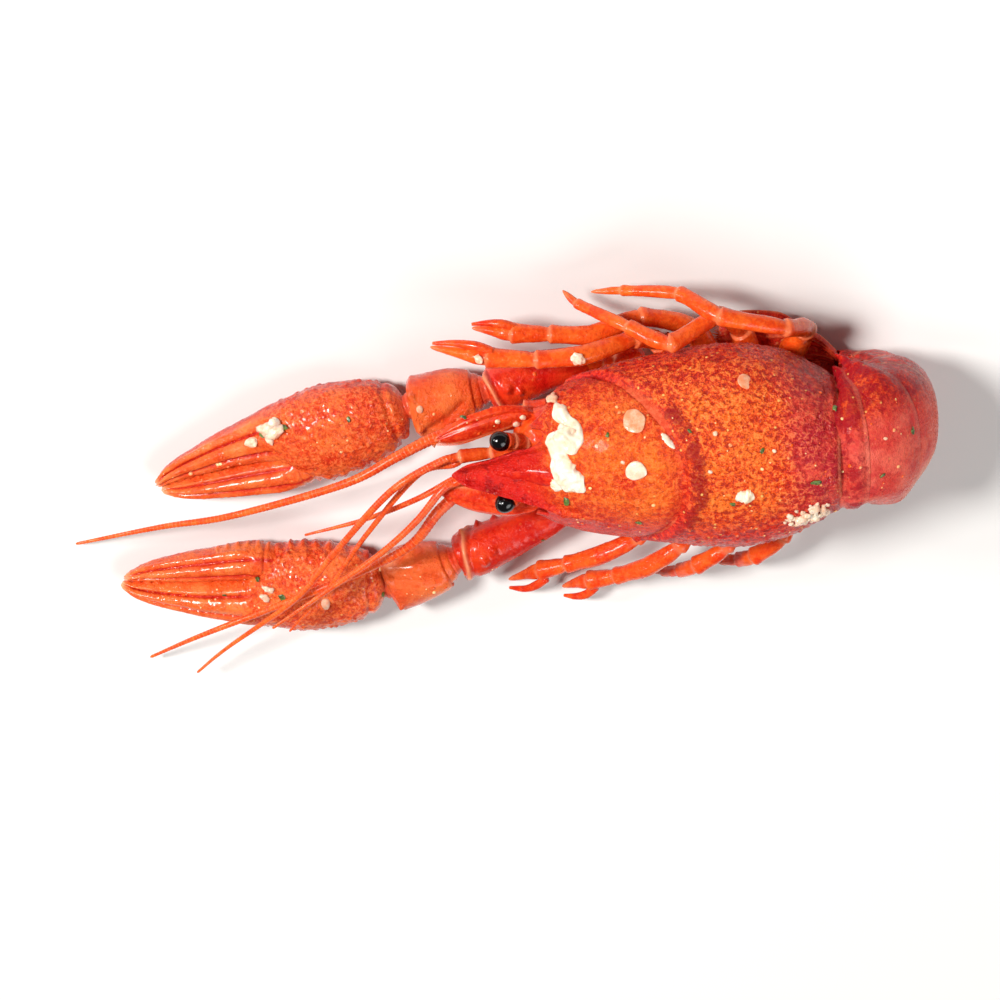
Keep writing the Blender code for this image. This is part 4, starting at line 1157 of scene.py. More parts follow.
legs = {
    "routes": {
        "right_1": [(28.3, 6.6, 6.6), (26.8, 10.8, 7.0), (23.4, 12.7, 10.4), (17.2, 12.4, 13.6),
                    (11.4, 12.6, 14.2), (5.6, 13.2, 13.6), (2.2, 13.8, 12.6), (-1.2, 14.4, 11.4)],
        "right_2": [(33.0, 6.6, 6.6), (31.0, 11.6, 5.4), (24.6, 14.2, 7.0), (18.4, 13.2, 9.2),
                    (13.4, 13.8, 9.2), (8.8, 14.2, 8.8), (6.6, 14.6, 8.4), (4.0, 15.0, 7.8)],
        "right_3": [(37.6, 6.6, 6.6), (36.8, 11.4, 7.2), (33.8, 15.0, 11.0), (27.4, 13.5, 15.2),
                    (22.8, 15.0, 12.2), (17.0, 16.6, 6.8), (15.4, 18.0, 5.4)],
        "right_4": [(42.2, 6.6, 6.6), (44.4, 11.6, 9.0), (41.4, 13.9, 14.2), (33.6, 16.4, 15.0),
                    (29.2, 18.2, 10.8), (22.6, 17.8, 7.0), (18.8, 17.4, 5.4)],
        "left_1": [(28.3, -6.6, 6.6), (26.6, -11.4, 6.2), (22.2, -15.2, 7.4), (17.6, -17.4, 6.8),
                   (13.4, -19.2, 4.8), (10.0, -20.6, 3.0), (8.2, -21.4, 2.0), (5.8, -22.4, 1.0)],
        "left_2": [(33.0, -6.6, 6.6), (31.2, -11.6, 6.8), (27.4, -16.0, 9.4), (23.4, -19.2, 7.6),
                   (19.6, -21.4, 4.8), (16.2, -22.8, 2.6), (14.6, -23.4, 1.6), (12.6, -24.2, 0.7)],
        "left_3": [(37.6, -6.6, 6.6), (36.6, -11.8, 6.6), (33.2, -16.6, 9.6), (29.6, -19.4, 8.0),
                   (27.6, -21.0, 5.6), (25.6, -22.2, 3.0), (23.8, -23.0, 0.45)],
        "left_4": [(42.2, -6.6, 6.6), (43.2, -11.4, 6.8), (40.4, -16.2, 9.0), (37.0, -19.2, 7.2),
                   (35.2, -20.6, 4.8), (33.2, -21.6, 2.4), (31.4, -22.4, 0.45)]},
    # the first two pairs end in small pincers; these are the movable fingers
    "fingers": {
        "right_1": [(6.4, 13.9, 13.9), (4.6, 14.8, 13.7), (2.2, 15.1, 12.9), (-0.9, 14.9, 11.6)],
        "right_2": [(9.6, 14.7, 9.0), (8.2, 15.4, 8.9), (6.4, 15.7, 8.6), (4.0, 15.5, 7.9)],
        "left_1": [(10.8, -21.3, 3.8), (9.4, -22.4, 3.3), (7.8, -23.2, 2.5), (5.8, -23.3, 1.4)],
        "left_2": [(17.0, -23.4, 3.2), (15.8, -24.5, 2.8), (14.4, -25.1, 2.1), (12.7, -25.2, 1.2)]},
    "pincerRadii": (1.6, 1.9, 1.45, 1.15, 1.3, 1.1, 1.25, 0.7, 0.24), "pincerJoints": (1, 2, 3, 5, 6),
    "pointedRadii": (1.6, 1.9, 1.4, 1.1, 1.15, 0.9, 0.62, 0.16), "pointedJoints": (1, 2, 3, 4, 5, 6),
    "bright": {"right": 0.6, "left": 0.35}, "deep": {"right": 0.1, "left": 0.25},
    "clawBase": [(25.2, 3.9, 7.4), (23.6, 7.3, 6.0), (21.8, 9.0, 5.2)],
    "clawBaseRadii": (2.0, 2.4, 2.2, 1.75, 1.6), "fingerRadii": (0.62, 0.6, 0.46, 0.2),
}


def mirrored(stops, side):
    # the same places on one side or the other
    return [(x, side * y, z) for x, y, z in stops]


def makeLegs():
    # walking legs from a hip inside the body, their small fingers, and the claws' bases
    for word, stops in legs["routes"].items():
        kind, side = "pincer" if word in legs["fingers"] else "pointed", word.split("_")[0]
        x, y, z = stops[0]
        limbTube(f"leg_{word}", "_shell", [(x - 0.4, y * 0.62, z + 0.9), *stops], legs[kind + "Radii"],
                 joints=legs[kind + "Joints"], size=(240, 26), flat=0.84, ring=0.28, paleTip=0.3,
                 bright=legs["bright"][side], deep=legs["deep"][side])
    for word, stops in legs["fingers"].items():
        limbTube(f"leg_{word}_pincer", "_shell", stops, legs["fingerRadii"], size=(60, 18),
                 paleTip=0.5, ring=0.0, neck=0, flare=0, straight=0.0)
    for word, side in sides.items():
        x, y, z = claws[word][0]
        stops = [*mirrored(legs["clawBase"], side), (x + 1.6, y, z), (x - 1.2, y, z)]
        limbTube(f"claw_{word}_base", "_shell", stops, legs["clawBaseRadii"], size=(110, 40), flat=0.95,
                 ring=0.5, straight=0.2)


jaws = {"outer": [(24.6, 2.0, 8.4), (22.2, 2.3, 6.3), (17.5, 2.6, 6.6), (13.2, 2.7, 7.6), (10.2, 2.2, 9.6),
                  (9.2, 1.8, 11.2)],
        "outerRadii": (1.4, 1.8, 1.65, 1.3, 1.0, 0.42),
        "inner": [(18.2, 0.9, 8.2), (14.6, 1.1, 8.8), (12.0, 1.0, 10.2), (11.2, 0.8, 11.8)],
        "innerRadii": (1.0, 1.0, 0.75, 0.3), "hairs": 46, "bareHairs": 14}


def makeJaws():
    # two leg-like jaws with hairs along their inner edges
    tufts = []
    for word, side in sides.items():
        stops = mirrored(jaws["outer"], side)
        limbTube(f"jaw_leg_{word}", "_shell", stops, jaws["outerRadii"], size=(150, 30), flat=0.8, ridge=0.12)
        points, where, _ = pathThrough(stops, jaws["hairs"])
        points, where = points[jaws["bareHairs"]:], where[jaws["bareHairs"]:]
        chance = cellNumber(at(where * 9, side, 0), 2)
        inward = at(-0.5 - 0.6 * chance, -side * 1.2, 0.5 * chance - 0.5)
        tufts.append(hairs(points + inward * 0.7, inward, 1.1 + 0.6 * chance, 0.05, 0.3))
        # the second, smaller pair close the mouth behind them
        limbTube(f"inner_jaw_{word}", "", mirrored(jaws["inner"], side), jaws["innerRadii"], bellyCream,
                 size=(90, 20), flat=0.8)
    makePiece("jaw_hairs", tufts, legRed)


feelers = {
    "long": {"base": [(12.6, 5.0, 12.3), (9.6, 4.7, 12.2), (5.5, 4.5, 12.4), (1.5, 3.9, 12.8)],
             "baseRadii": (1.7, 1.7, 1.5, 1.25, 1.0), "radii": (0.8, 0.5, 0.4, 0.2), "ring": 0.55,
             "size": (900, 12),
             "right": [(-2.2, 3.0, 13.1), (-6.5, 1.2, 13.3), (-13.3, -2.2, 12.3), (-27.5, -6.8, 8.4),
                       (-37, -9.0, 5.0), (-48.5, -12.0, 1.2)],
             "left": [(-2.0, -6.4, 13.6), (-6.0, -10.8, 13.4), (-14, -15.2, 11.4), (-24.5, -19.6, 9.5),
                      (-34, -24.0, 6.4), (-41, -28.4, 2.2)]},
    "short": {"base": [(9.8, 1.6, 15.2), (5.0, 1.55, 15.4), (1.2, 1.5, 15.6)],
              "baseRadii": (0.98, 0.9, 0.75, 0.6), "radii": (0.5, 0.42, 0.336, 0.18), "ring": 0.4,
              "size": (900, 12),
              "right": [(-1.4, 1.1, 15.9), (-7.6, -2.4, 15.6), (-15.4, -11.0, 13.4), (-20.6, -17.2, 11.9),
                        (-30.5, -25.4, 7.6), (-35, -30, 4.6)],
              "left": [(-1.2, -2.6, 15.7), (-4.6, -6.4, 15.6), (-9.5, -10.6, 15.2), (-16.5, -15.4, 14.3),
                       (-24, -20.6, 12.9)]},
    "fine": {"radii": (0.42, 0.36, 0.28, 0.15), "ring": 0.36, "size": (700, 10),
             "right": [(1.6, 1.2, 15.3), (0.4, 0.2, 14.8), (-4, -0.9, 14.4), (-11.0, -8.6, 13.5),
                       (-16.2, -15.4, 13.0), (-22.0, -21.6, 12.2)],
             "left": [(1.6, -1.4, 15.2), (0.2, -2.0, 14.2), (-4.4, -4.6, 13.2), (-11, -7.6, 11.2),
                      (-19, -10.4, 8.2)]},
    # stations of the plate at a long feeler's root: x, y, z, half width, half thickness
    "scale": [(10.9, 5.4, 14.3, 0.7, 0.6), (9.3, 6.0, 15.0, 1.0, 0.5), (6.5, 5.7, 15.0, 1.6, 0.4),
              (3.0, 4.8, 14.95, 1.7, 0.34), (0.2, 4.0, 14.8, 1.15, 0.28), (-1.6, 3.5, 14.7, 0.22, 0.14)],
    "scaleRows": 70, "scaleColumns": 44, "scaleHairs": 40,
}


def whip(name, stops, look):
    # a feeler's lash: a tapering tube whose radius steps in and out with every fine ring along it
    points, where, _ = pathThrough(stops, look["size"][0])
    share, saw = where / where[-1], np.modf(where / look["ring"])[0]
    radius = curve(list(zip(np.linspace(0, where[-1], len(look["radii"])), look["radii"])), where)
    grid = tube(points, radius * (1 + 0.1 * saw - 0.05) * roundedEnds(share, 0.004, 0.01), look["size"][1])
    share, saw = share[:, None], saw[:, None]
    marks = {"pale": 0.35 * fade(saw, 0.8, 1.0) * fade(share, 0.0, 0.05), "deep": 0.3 * (1 - share),
             "bright": 0.35 + 0.4 * share}
    makePiece(f"{name}_lash", [gridBody(grid, marks)], legRed, name)


def makeFeelerScale(word, side):
    # a thin plate: its outer edge is a thick rib that ends
    # in a spine, its inner one thin with hairs, given back
    share, turn = sweep(feelers["scaleRows"], feelers["scaleColumns"])
    across, up = np.sin(turn), power(np.cos(turn), 0.8)
    x, y, z, half, thick = evenCurves(feelers["scale"], share)
    ends, outer = roundedEnds(share, 0.05, 0.02), side * across
    rib = 1 + 0.9 * hump(outer, 0.72, 0.2) - 0.35 * fade(outer, 0.1, -0.9)
    height = thick * up * ends * rib * np.sqrt(np.clip(1.05 - across**2, 0.04, 1))
    height = height - 0.3 * hump(outer, 0.35, 0.14) * bounded(up)
    grid = at(x, side * y + half * across * ends, z + height - 0.3 * across**2)
    marks = {"deep": 0.5 - 0.3 * np.abs(across),
             "pale": 0.5 * fade(outer, -0.7, -1.0) + 0.4 * fade(share, 0.93, 1)}
    name = f"feeler_scale_{word}"
    makePiece(f"{name}_plate", [gridBody(grid, marks)], (legRed[0], shellRed[1]), name)
    spots = np.linspace(0.3, 0.97, feelers["scaleHairs"])
    x, y, z, half, _ = evenCurves(feelers["scale"], spots)
    chance = cellNumber(at(np.arange(spots.size), side, 0), 6)
    ways = at(-0.9 - 0.3 * chance, -side * (0.9 - 0.5 * spots), 0.3 * (chance - 0.5))
    return hairs(at(x, side * (y - 0.97 * half), z - 0.25), ways, 0.7 + 0.4 * chance, 0.04)


def makeFeelers():
    # on each side a long and a short one on jointed bases, a fine one, and the plate beside the long one
    fringe = []
    for word, side in sides.items():
        for kind in ("long", "short"):
            look, name = feelers[kind], f"feeler_{kind}_{word}"
            base = mirrored(look["base"], side)
            between = tuple(0.5 * (np.array(base[-1]) + look[word][0]))
            limbTube(name, "_base", [*base, between], look["baseRadii"], size=(120, 30), flat=0.95, neck=0.2,
                     flare=0.18, straight=0.3, ring=0.5, tip=0.06)
            whip(name, [base[-1], *look[word]], look)
        whip(f"feeler_fine_{word}", feelers["fine"][word], feelers["fine"])
        fringe.append(makeFeelerScale(word, side))
    makePiece("feeler_scale_hairs", fringe, legRed)


eyes = {"stalk": [(10.2, 2.8, 15.9), (9.2, 3.0, 16.4), (7.8, 3.6, 17.2), (6.9, 4.0, 17.8)],
        "stalkRadii": (0.8, 0.95, 1.0, 1.05), "middle": (6.3, 4.05, 17.9), "axis": (-0.74, 0.45, 0.35),
        "radius": 1.22, "long": 1.12, "rows": 44, "columns": 48}


def eyeFinish():
    # glossy black with the fine facets of a crayfish's eye
    made, tree, shader = startFinish("eyeBlack")
    cells = addNode(tree, "TexVoronoi", {"Vector": placeInMillimetres(tree), "Scale": 9.0})
    facets = cells.outputs["Distance"]
    tint = blendColours(tree, spread(tree, facets, 0.2, 0.6), colour(16, 10, 12), colour(6, 4, 5))
    fill(tree, shader, {"Base Color": tint, "Normal": bumped(tree, facets, 0.4, 0.02), "Roughness": 0.12,
                        "Specular IOR Level": 0.35, "Coat Weight": 0.3, "Coat Roughness": 0.03})
    return made, "eye_black"


def makeEyes():
    # a short stalk and a ball: circles of radius sqrt(1 - t^2) along an axis,
    # a little longer than it is wide
    black = eyeFinish()
    for word, side in sides.items():
        limbTube(f"eye_{word}", "_stalk", mirrored(eyes["stalk"], side), eyes["stalkRadii"], shellRed,
                 size=(60, 26), neck=0.05, flare=0.05, ring=0.35, straight=0, flat=0.95)
        middle, axis = np.array(mirrored([eyes["middle"], eyes["axis"]], side))
        t = np.sin(np.linspace(-math.pi / 2, math.pi / 2, eyes["rows"]))
        points = middle + (eyes["long"] * eyes["radius"] * t)[:, None] * unit(axis)
        grid = tube(points, eyes["radius"] * np.sqrt(np.maximum(1 - t**2, 0)), eyes["columns"])
        makePiece(f"eye_{word}_ball", [gridBody(grid)], black, f"eye_{word}")


makeLegs()
makeJaws()
makeFeelers()
makeEyes()
print("legs, jaws, feelers and eyes made")


# what it was cooked with: cream, garlic, herbs and drops of butter

def onShell(x, y, height=0.0):
    # points that lie the given height above the shell, grains and all, straight out from it
    def degreesAt(x, y):
        # the angle at which the arch is so far out, arcsin((|y| / half width) ^ (1 / 0.95))
        share = np.clip(np.abs(y) / curve(shell["halfWidths"], x), 0, 0.999)
        return np.degrees(np.sign(y) * np.arcsin(share ** (1 / 0.95)))

    def plain(x, y):
        # the plain shell there
        return shellPoint(x, degreesAt(x, y))

    here, step = plain(x, y), 0.05
    normals = unit(np.cross(plain(x + step, y) - here, plain(x, y + step) - here))
    return raised(here, normals, shellRelief(x, degreesAt(x, y), here) + height)


# each run of cream: its stops (x, y) on the shell, then half widths and heights by share of its length
sauce = {
    "main": ([(13.2, 8.0), (13.8, 7.2), (15.0, 6.2), (14.2, 5.0), (13.2, 3.8), (13.3, 2.2), (14.0, 0.6),
              (15.9, -1.2)],
             [(0, 0.2), (0.07, 0.95), (0.16, 0.6), (0.3, 1.55), (0.44, 1.5), (0.56, 0.95), (0.7, 1.45),
              (0.84, 1.5), (0.93, 0.9), (1, 0.2)],
             [(0, 0.1), (0.1, 0.6), (0.17, 0.35), (0.33, 1.0), (0.55, 0.6), (0.75, 0.95), (0.92, 0.6),
              (1, 0.1)]),
    "drip": ([(13.4, 0.4), (12.6, -0.6), (12.3, -1.5)], [(0, 0.5), (0.4, 0.75), (0.8, 0.6), (1, 0.15)],
             [(0, 0.5), (0.6, 0.55), (1, 0.1)]),
    # a dash of white cream on the neck groove where a highlight streak lies: a painted highlight
    "painted_highlight_dash": ([(25.3, 5.8), (26.0, 4.9), (26.6, 4.1)], [(0, 0.12), (0.3, 0.36), (0.7, 0.3), (1, 0.1)],
             [(0, 0.1), (0.5, 0.3), (1, 0.1)]),
    "streak": ([(33.4, -2.4), (34.4, -2.0), (35.6, -2.3)], [(0, 0.2), (0.3, 0.65), (0.7, 0.8), (1, 0.2)],
               [(0, 0.1), (0.4, 0.5), (1, 0.1)]),
}


toppings = {
    # rows and columns of a run of cream, and the height that everything falls from
    "sauceSize": (120, 48), "fallFrom": 40.0,
    # x, y, length, width, half thickness, direction, how warm its tone is
    "chips": [
        (13.0, 8.2, 0.85, 0.7, 0.5, 0.2, 0.4), (22.3, 7.0, 1.5, 1.3, 0.2, 0.5, 0.7),
        (22.0, 1.6, 1.3, 1.15, 0.32, 1.4, 0.1), (35.6, 10.6, 1.05, 0.85, 0.12, 0.4, 0.75),
        (16.4, 12.6, 0.95, 0.8, 0.55, 0.9, 0.2), (-24.2, 1.8, 0.8, 0.6, 0.5, 1.8, 0.3),
        (20.5, 2.6, 0.28, 0.22, 0.15, 1.0, 0.4), (31.5, 5.8, 0.3, 0.26, 0.15, 0.4, 0.3),
        (38.2, 3.5, 0.26, 0.2, 0.14, 0.9, 0.4), (-17.4, -20.3, 0.7, 0.55, 0.4, 0.1, 0.5),
        (30.6, 1.4, 0.3, 0.24, 0.15, 1.1, 0.2), (4.6, 13.4, 0.6, 0.5, 0.35, 0.5, 0.3),
        (51.5, 3.2, 0.26, 0.2, 0.14, 1.3, 0.4), (-3.2, 4.9, 0.5, 0.4, 0.25, 0.2, 0.5),
        (17.6, 4.4, 0.24, 0.2, 0.12, 0.8, 0.5), (8.4, 4.9, 0.55, 0.4, 0.3, 0.4, 0.1),
        (9.3, 5.9, 0.4, 0.34, 0.25, 1.2, 0.2), (6.2, 5.6, 0.36, 0.3, 0.2, 0.9, 0.3)],
    # x, y, length, width
    "flakes": [
        (13.6, -2.6, 0.5, 0.3), (42.9, -0.8, 0.55, 0.35), (41.4, -6.4, 0.75, 0.5), (-22.8, 2.9, 0.75, 0.45),
        (-20.0, 3.6, 0.5, 0.3), (46.0, 6.6, 0.42, 0.28), (33.0, -3.0, 0.32, 0.2), (19.0, 5.6, 0.3, 0.2),
        (28.6, 6.1, 0.26, 0.18), (51.0, -1.4, 0.36, 0.22), (-22.6, -19.3, 0.7, 0.42),
        (-25.6, -17.0, 0.5, 0.3), (-12.0, 4.4, 0.34, 0.22), (2.2, 6.2, 0.36, 0.22), (36.8, 3.6, 0.3, 0.2),
        (10.6, -14.6, 0.3, 0.2), (-30.2, -19.0, 0.3, 0.2), (55.0, 3.0, 0.4, 0.24), (22.0, -5.6, 0.34, 0.22),
        (-10.2, -20.4, 0.4, 0.25)],
    "chipSize": (24, 36), "flakeSize": (9, 18), "crumbSize": (10, 16), "flakeThickness": 0.07,
    "flakeLift": 0.1,
    # drops of butter lie from the claws' tips to the tail, a little way to each side of the midline; before
    # armsEnd they keep to the two claws, whose lines are y at x = 0, y for each millimetre of x, and width
    "drops": 260, "dropSize": (5, 10), "lowestDrop": 2, "dropsFrom": -36, "dropsLong": 92, "dropsWide": 19,
    "armsEnd": 10, "rightClaw": (4.0, 0.2, 3.0), "leftClaw": (-18.8, 0.0, 3.5),
    # heaps of minced garlic: x, y, length, width, direction, crumbs, crumb size
    "heaps": [(42.0, -5.7, 2.9, 1.5, 0.3, 52, 0.68), (34.4, -2.3, 0.9, 0.45, 0.2, 9, 0.45),
              (-21.8, 3.2, 1.2, 0.9, 0.4, 8, 1.6), (-24.6, -18.4, 0.7, 0.5, 0.7, 5, 0.8),
              (13.5, 7.3, 0.8, 0.45, 1.2, 7, 0.5), (14.6, 5.4, 1.1, 0.7, 1.4, 8, 0.75),
              (13.6, 1.6, 0.9, 0.7, 1.5, 9, 0.55)],
}


def makeSauce():
    # each run is a dome carried along a line drawn on the shell, its width and height swelling into lobes,
    # its underside sunk a little into the shell
    bodies = []
    for stops, halfWidths, heights in sauce.values():
        rows, columns = toppings["sauceSize"]
        points, where, _ = pathThrough([(*stop, 0) for stop in stops], rows)
        share, turn = (where / where[-1])[:, None], sweep(1, columns)[1]
        along = unit(np.gradient(points[:, :2], axis=0))
        edge = at(4 * share + np.sin(turn), 0, 0)
        wobble = 1 + 0.22 * smoothNoise(edge, 0.5, 4) + 0.12 * smoothNoise(edge, 0.17, 5)
        wide = curve(halfWidths, share) * np.sin(turn) * wobble
        x, y = points[:, 0:1] - along[:, 1:2] * wide, points[:, 1:2] + along[:, 0:1] * wide
        high = curve(heights, share) * np.cos(turn)
        high = np.where(high > 0, high, 0.5 * high - 0.15 * (np.cos(turn) < 0))
        spots = at(x, y, 0)
        high = high * (1 + 0.4 * smoothNoise(spots, 0.9, 6) + 0.3 * smoothNoise(spots, 0.42, 8))
        grid = onShell(x, y, high)
        bodies.append(gridBody(grid, {"tone": 0.5 + 0.5 * smoothNoise(grid, 1.3, 14)}))
    makePiece("cream_sauce_smears", bodies, creamFinish)


def paleFinish(name, light, warm):
    # garlic and cream: two soft tones, slightly translucent, glossy where it is wet
    made, tree, shader = startFinish(name)
    place = placeInMillimetres(tree)
    broad, fine = noise(tree, place, 1.1, 3.0), noise(tree, place, 5.0, 4.0)
    toned = plus(tree, spread(tree, broad, 0.38, 0.66, 0.0, 0.3), times(tree, painted(tree, "tone"), 0.8))
    tint = blendColours(tree, toned, colour(*light), colour(*warm))
    tint = blendColours(tree, spread(tree, fine, 0.45, 0.8, 0.0, 0.35), tint, colour(*warm))
    film = useGroup(tree, wetFilm, {"Place": place, "Dry": 0.3, "Wet": 0.15, "Least": 0.3})
    fill(tree, shader, {"Base Color": tint, "Roughness": film["Roughness"], "Coat Weight": film["Coat"],
                        "Normal": bumped(tree, fine, 0.7, 0.09), "Coat Roughness": 0.1,
                        "Subsurface Weight": 0.35, "Subsurface Radius": (1.0, 0.7, 0.45),
                        "Subsurface Scale": 0.5 * mm})
    return made, "belly_cream"


def herbFinish():
    # dark green with lighter veins
    made, tree, shader = startFinish("choppedHerb")
    veins = noise(tree, placeInMillimetres(tree), 3.0, 4.0)
    tint = blendColours(tree, spread(tree, veins, 0.35, 0.65), colour(40, 62, 20), colour(104, 124, 44))
    fill(tree, shader, {"Base Color": tint, "Normal": bumped(tree, veins, 0.8, 0.08), "Roughness": 0.35,
                        "Coat Weight": 0.4, "Coat Roughness": 0.1})
    return made, "belly_cream"


def dropFinish():
    # clear butter over shell, or a crumb of garlic where its tone is 1
    made, tree, shader = startFinish("butterDrop")
    tint = blendColours(tree, painted(tree, "tone"), colour(238, 92, 30), colour(255, 216, 150))
    fill(tree, shader, {"Base Color": tint, "Roughness": 0.08, "Coat Weight": 0.6, "Coat Roughness": 0.03})
    return made, "belly_cream"


creamFinish = paleFinish("creamSauce", (255, 250, 236), (250, 218, 176))
garlicFinish = paleFinish("garlicBits", (253, 236, 210), (244, 128, 66))
herb = herbFinish()


def scattered(trees, spots, make, lowest=0):
    # one body for each spot (x, y and what make is given) under which a straight drop meets one of the
    # pieces; make is told the spot's number, the place and which way the surface faces there
    bodies = []
    for number, (x, y, *rest) in enumerate(spots):
        drop = Vector(np.array([x, y, toppings["fallFrom"]]) * mm + workOrigin)
        hits = [tree.ray_cast(drop, Vector((0, 0, -1))) for tree in trees]
        hits = [hit for hit in hits if hit[0] is not None]
        if hits:
            place, normal = max(hits, key=lambda hit: hit[0].z)[:2]
            place, normal = (np.array(place) - workOrigin) / mm, np.array(normal.normalized())
            if place[2] >= lowest:
                bodies.append(make(number, place, normal * (1 if normal[2] > 0 else -1), *rest))
    return bodies


def lump(middle, normal, spin, size, thickness, salt, roughness=0.3, counts=(15, 22), sink=0.3, tone=0.5):
    # a rounded chip: a ball squashed along the surface's own direction, with lumps of smooth noise on it
    aside = unit(np.cross(normal, [math.cos(spin), math.sin(spin), 0.13]))
    onward = np.cross(normal, aside)
    tilt, turn = np.linspace(0, math.pi, counts[0] + 2)[1:-1, None], sweep(1, counts[1])[1]
    ball = at(np.sin(tilt) * np.cos(turn), np.sin(tilt) * np.sin(turn), np.cos(tilt))
    lumps = smoothNoise(ball + salt * 3.7, 0.8, salt) + 0.5 * smoothNoise(ball + salt, 0.45, salt)
    a, b, c = np.moveaxis(ball * (1 + roughness * lumps)[..., None], -1, 0)[..., None]
    grid = middle + a * size[0] * aside + b * size[1] * onward + (c + 1 - 2 * sink) * thickness * normal
    return gridBody(grid, {"tone": tone})


def chances(count, columns, spin, salt):
    # for each of so many things, a repeatable number from 0 to 1 in each of the columns
    order = np.arange(float(count))
    return [cellNumber(at(order, column, spin), salt) for column in columns]


def chipAt(number, place, normal, length, width, thickness, spin, tone):
    # a slice of garlic, smoother where it is thin
    roughness = 0.14 if thickness < 0.5 else 0.4
    return lump(place, normal, spin, (length, width), thickness, number + 1, roughness, toppings["chipSize"],
                tone=tone)


def flakeAt(number, place, normal, length, width):
    # a thin crumpled flake of herb, tilted a little to one side or another
    tilted = unit(normal + [0.3 * math.sin(number), 0.3 * math.cos(number), 0])
    return lump(place + toppings["flakeLift"] * normal, tilted, number * 1.3, (length, width),
                toppings["flakeThickness"], number + 40, 0.6, toppings["flakeSize"])


def heapOf(trees, x, y, length, width, spin, count, crumb):
    # crumbs scattered over an oval, larger and higher in its middle
    share, turned, big, spun, warm = chances(count, range(5), round(x), 4)
    far, turn = np.sqrt(share), 2 * math.pi * turned
    along, aside = length * far * np.cos(turn), width * far * np.sin(turn)
    xs = x + along * math.cos(spin) - aside * math.sin(spin)
    ys = y + along * math.sin(spin) + aside * math.cos(spin)
    sizes = crumb * (0.45 + 0.75 * big**2) * (1.2 - 0.6 * far)

    def crumbAt(number, place, normal, size, far, spun, warm):
        # one crumb, sunk less the nearer it is to the middle
        return lump(place, normal, 6 * spun, (size, 0.75 * size), 0.55 * size, number + round(x), 0.45,
                    toppings["crumbSize"], 0.3 - 0.25 * (1 - far), 0.35 * warm)

    return scattered(trees, zip(xs, ys, sizes, far, spun, warm), crumbAt)


def dropAt(number, place, normal, share, tone):
    # a low round drop, small ones more often than large ones
    radius = 0.1 + 0.2 * share**3
    return lump(place, normal, number, (radius, radius * 0.85), 0.5 * radius, number + 90, 0.1,
                toppings["dropSize"], 0.4, fade(tone, 0.55, 0.9))


def makeToppings():
    # each kind is laid on whatever stands highest under it;
    # the drops keep to the back, the claws and the arms
    graph = bpy.context.evaluated_depsgraph_get()
    trees = [BVHTree.FromObject(bpy.data.objects[name], graph) for name in bpy.data.objects.keys()
             if name.endswith(("_shell", "_thorax", "_stalk", "_plate")) or name.startswith("tail_shell")]
    chips = scattered(trees, toppings["chips"], chipAt)
    for heap in toppings["heaps"]:
        chips += heapOf(trees, *heap)
    flakes = scattered(trees, toppings["flakes"], flakeAt)
    along, aside, share, tone = chances(toppings["drops"], range(1, 5), 5, 9)
    x, middle = toppings["dropsFrom"] + toppings["dropsLong"] * along, aside - 0.5
    rightY, leftY = (start + slope * x + width * middle for start, slope, width in
                     (toppings["rightClaw"], toppings["leftClaw"]))
    onClaws = np.where(np.arange(toppings["drops"]) % 2, rightY, leftY)
    y = np.where(x < toppings["armsEnd"], onClaws, toppings["dropsWide"] * middle)
    drops = scattered(trees, zip(x, y, share, tone), dropAt, toppings["lowestDrop"])
    makePiece("garlic_chips", chips, garlicFinish)
    makePiece("herb_flakes", flakes, herb)
    makePiece("butter_drops", drops, dropFinish())


makeSauce()
makeToppings()
print("toppings made")


# floor, light and camera; a lamp is its place from the middle of the object, size, power and tint
studio = {
    "width": 1.6, "below": 0.0001, "paper": (236, 234, 231), "paperRough": 0.7, "worldLight": 0.12,
    "lamps": {"softboxLeft": ((-0.28, 0.23, 0.46), 0.12, 3.4, (1, 0.99, 0.97)),
              "softboxRight": ((0.30, -0.22, 0.44), 0.42, 1.8, (1, 1, 1)),
              "softboxFront": ((-0.46, 0.20, 0.26), 0.08, 1.0, (1, 1, 1))},
    "lens": 110, "distance": 0.374, "tilt": 24, "turn": 5,
}


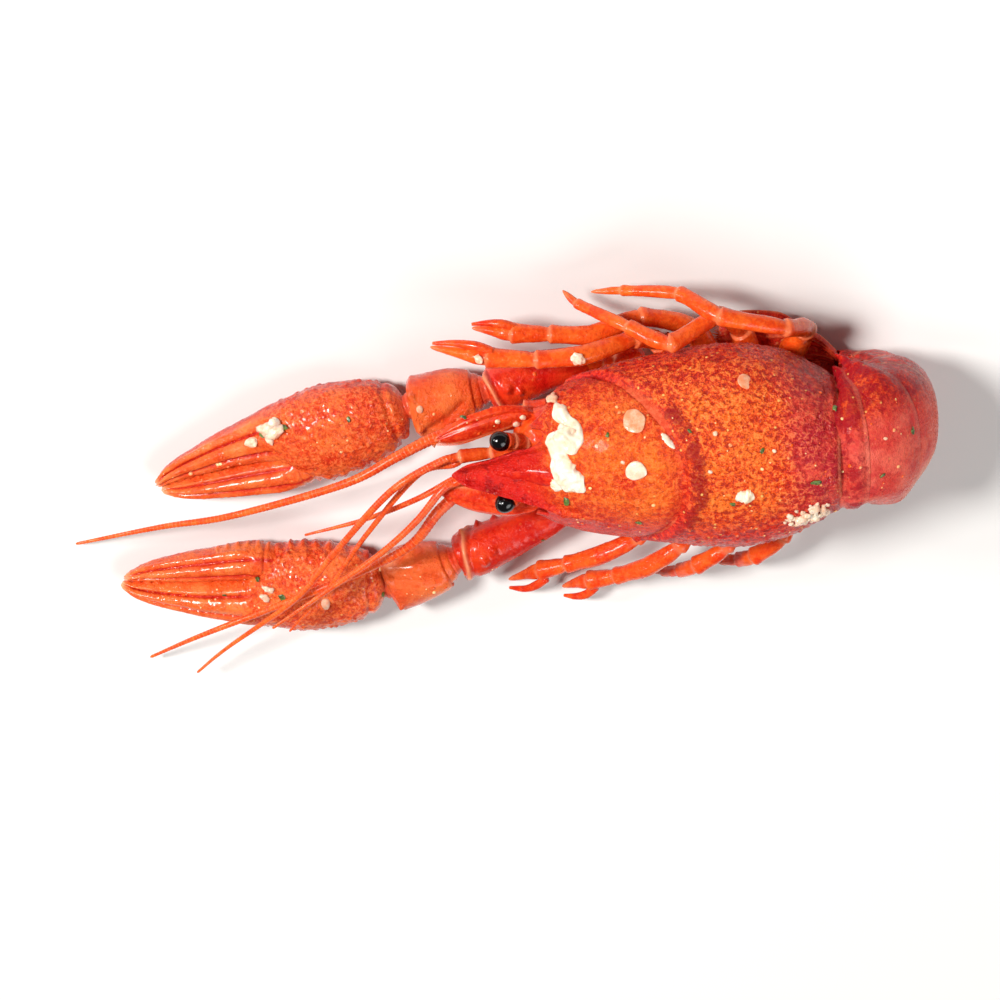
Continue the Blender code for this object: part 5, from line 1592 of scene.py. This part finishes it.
def makeFloor():
    # a square sheet of paper just under the object
    steps = np.linspace(-studio["width"] / 2, studio["width"] / 2, 9)
    xs, ys = np.meshgrid(steps, steps, indexing="ij")
    points, quads, _, _ = gridBody(at(xs, ys, cadBox[0][2] - studio["below"]), closed=False)
    mesh = bpy.data.meshes.new("studio_floor")
    mesh.from_pydata(points.tolist(), [], quads[:, [0, 3, 2, 1]].tolist())
    floor = bpy.data.objects.new("studio_floor", mesh)
    bpy.context.scene.collection.objects.link(floor)
    made, tree, shader = startFinish("floorPaper")
    fill(tree, shader, {"Base Color": colour(*studio["paper"]), "Roughness": studio["paperRough"]})
    mesh.materials.append(made)


def makeStudio():
    # round lamps that face the middle of the object, an even
    # faint light, and a camera tilted from straight above
    scene = bpy.context.scene
    target = (Vector(cadBox[0]) + Vector(cadBox[1])) / 2
    makeFloor()
    for name, (place, size, strength, tint) in studio["lamps"].items():
        lamp = bpy.data.lights.new(name, "AREA")
        lamp.shape, lamp.size, lamp.energy, lamp.color = "DISK", size, strength, tint
        light = bpy.data.objects.new(name, lamp)
        light.location = target + Vector(place)
        light.rotation_euler = Vector(place).to_track_quat("Z", "Y").to_euler()
        scene.collection.objects.link(light)
    scene.world = bpy.data.worlds.new("studioAir")
    scene.world.use_nodes = True
    air = scene.world.node_tree.nodes["Background"].inputs
    air[0].default_value, air[1].default_value = (1, 1, 1, 1), studio["worldLight"]
    lens = bpy.data.cameras.new("studioCamera")
    lens.lens, lens.clip_start = studio["lens"], 0.01
    camera = bpy.data.objects.new("studioCamera", lens)
    tilt, turn = math.radians(studio["tilt"]), math.radians(studio["turn"])
    back = Vector((0, math.sin(tilt), math.cos(tilt)))
    level, across = Vector((1, 0, 0)), Vector((0, math.cos(tilt), -math.sin(tilt)))
    right = level * math.cos(turn) - across * math.sin(turn)
    up = level * math.sin(turn) + across * math.cos(turn)
    placed = Matrix((right, up, back)).transposed().to_4x4()
    placed.translation = target + back * studio["distance"]
    camera.matrix_world = placed
    scene.collection.objects.link(camera)
    scene.camera = camera
    scene.view_settings.view_transform = "Standard"


makeStudio()
print("studio made")
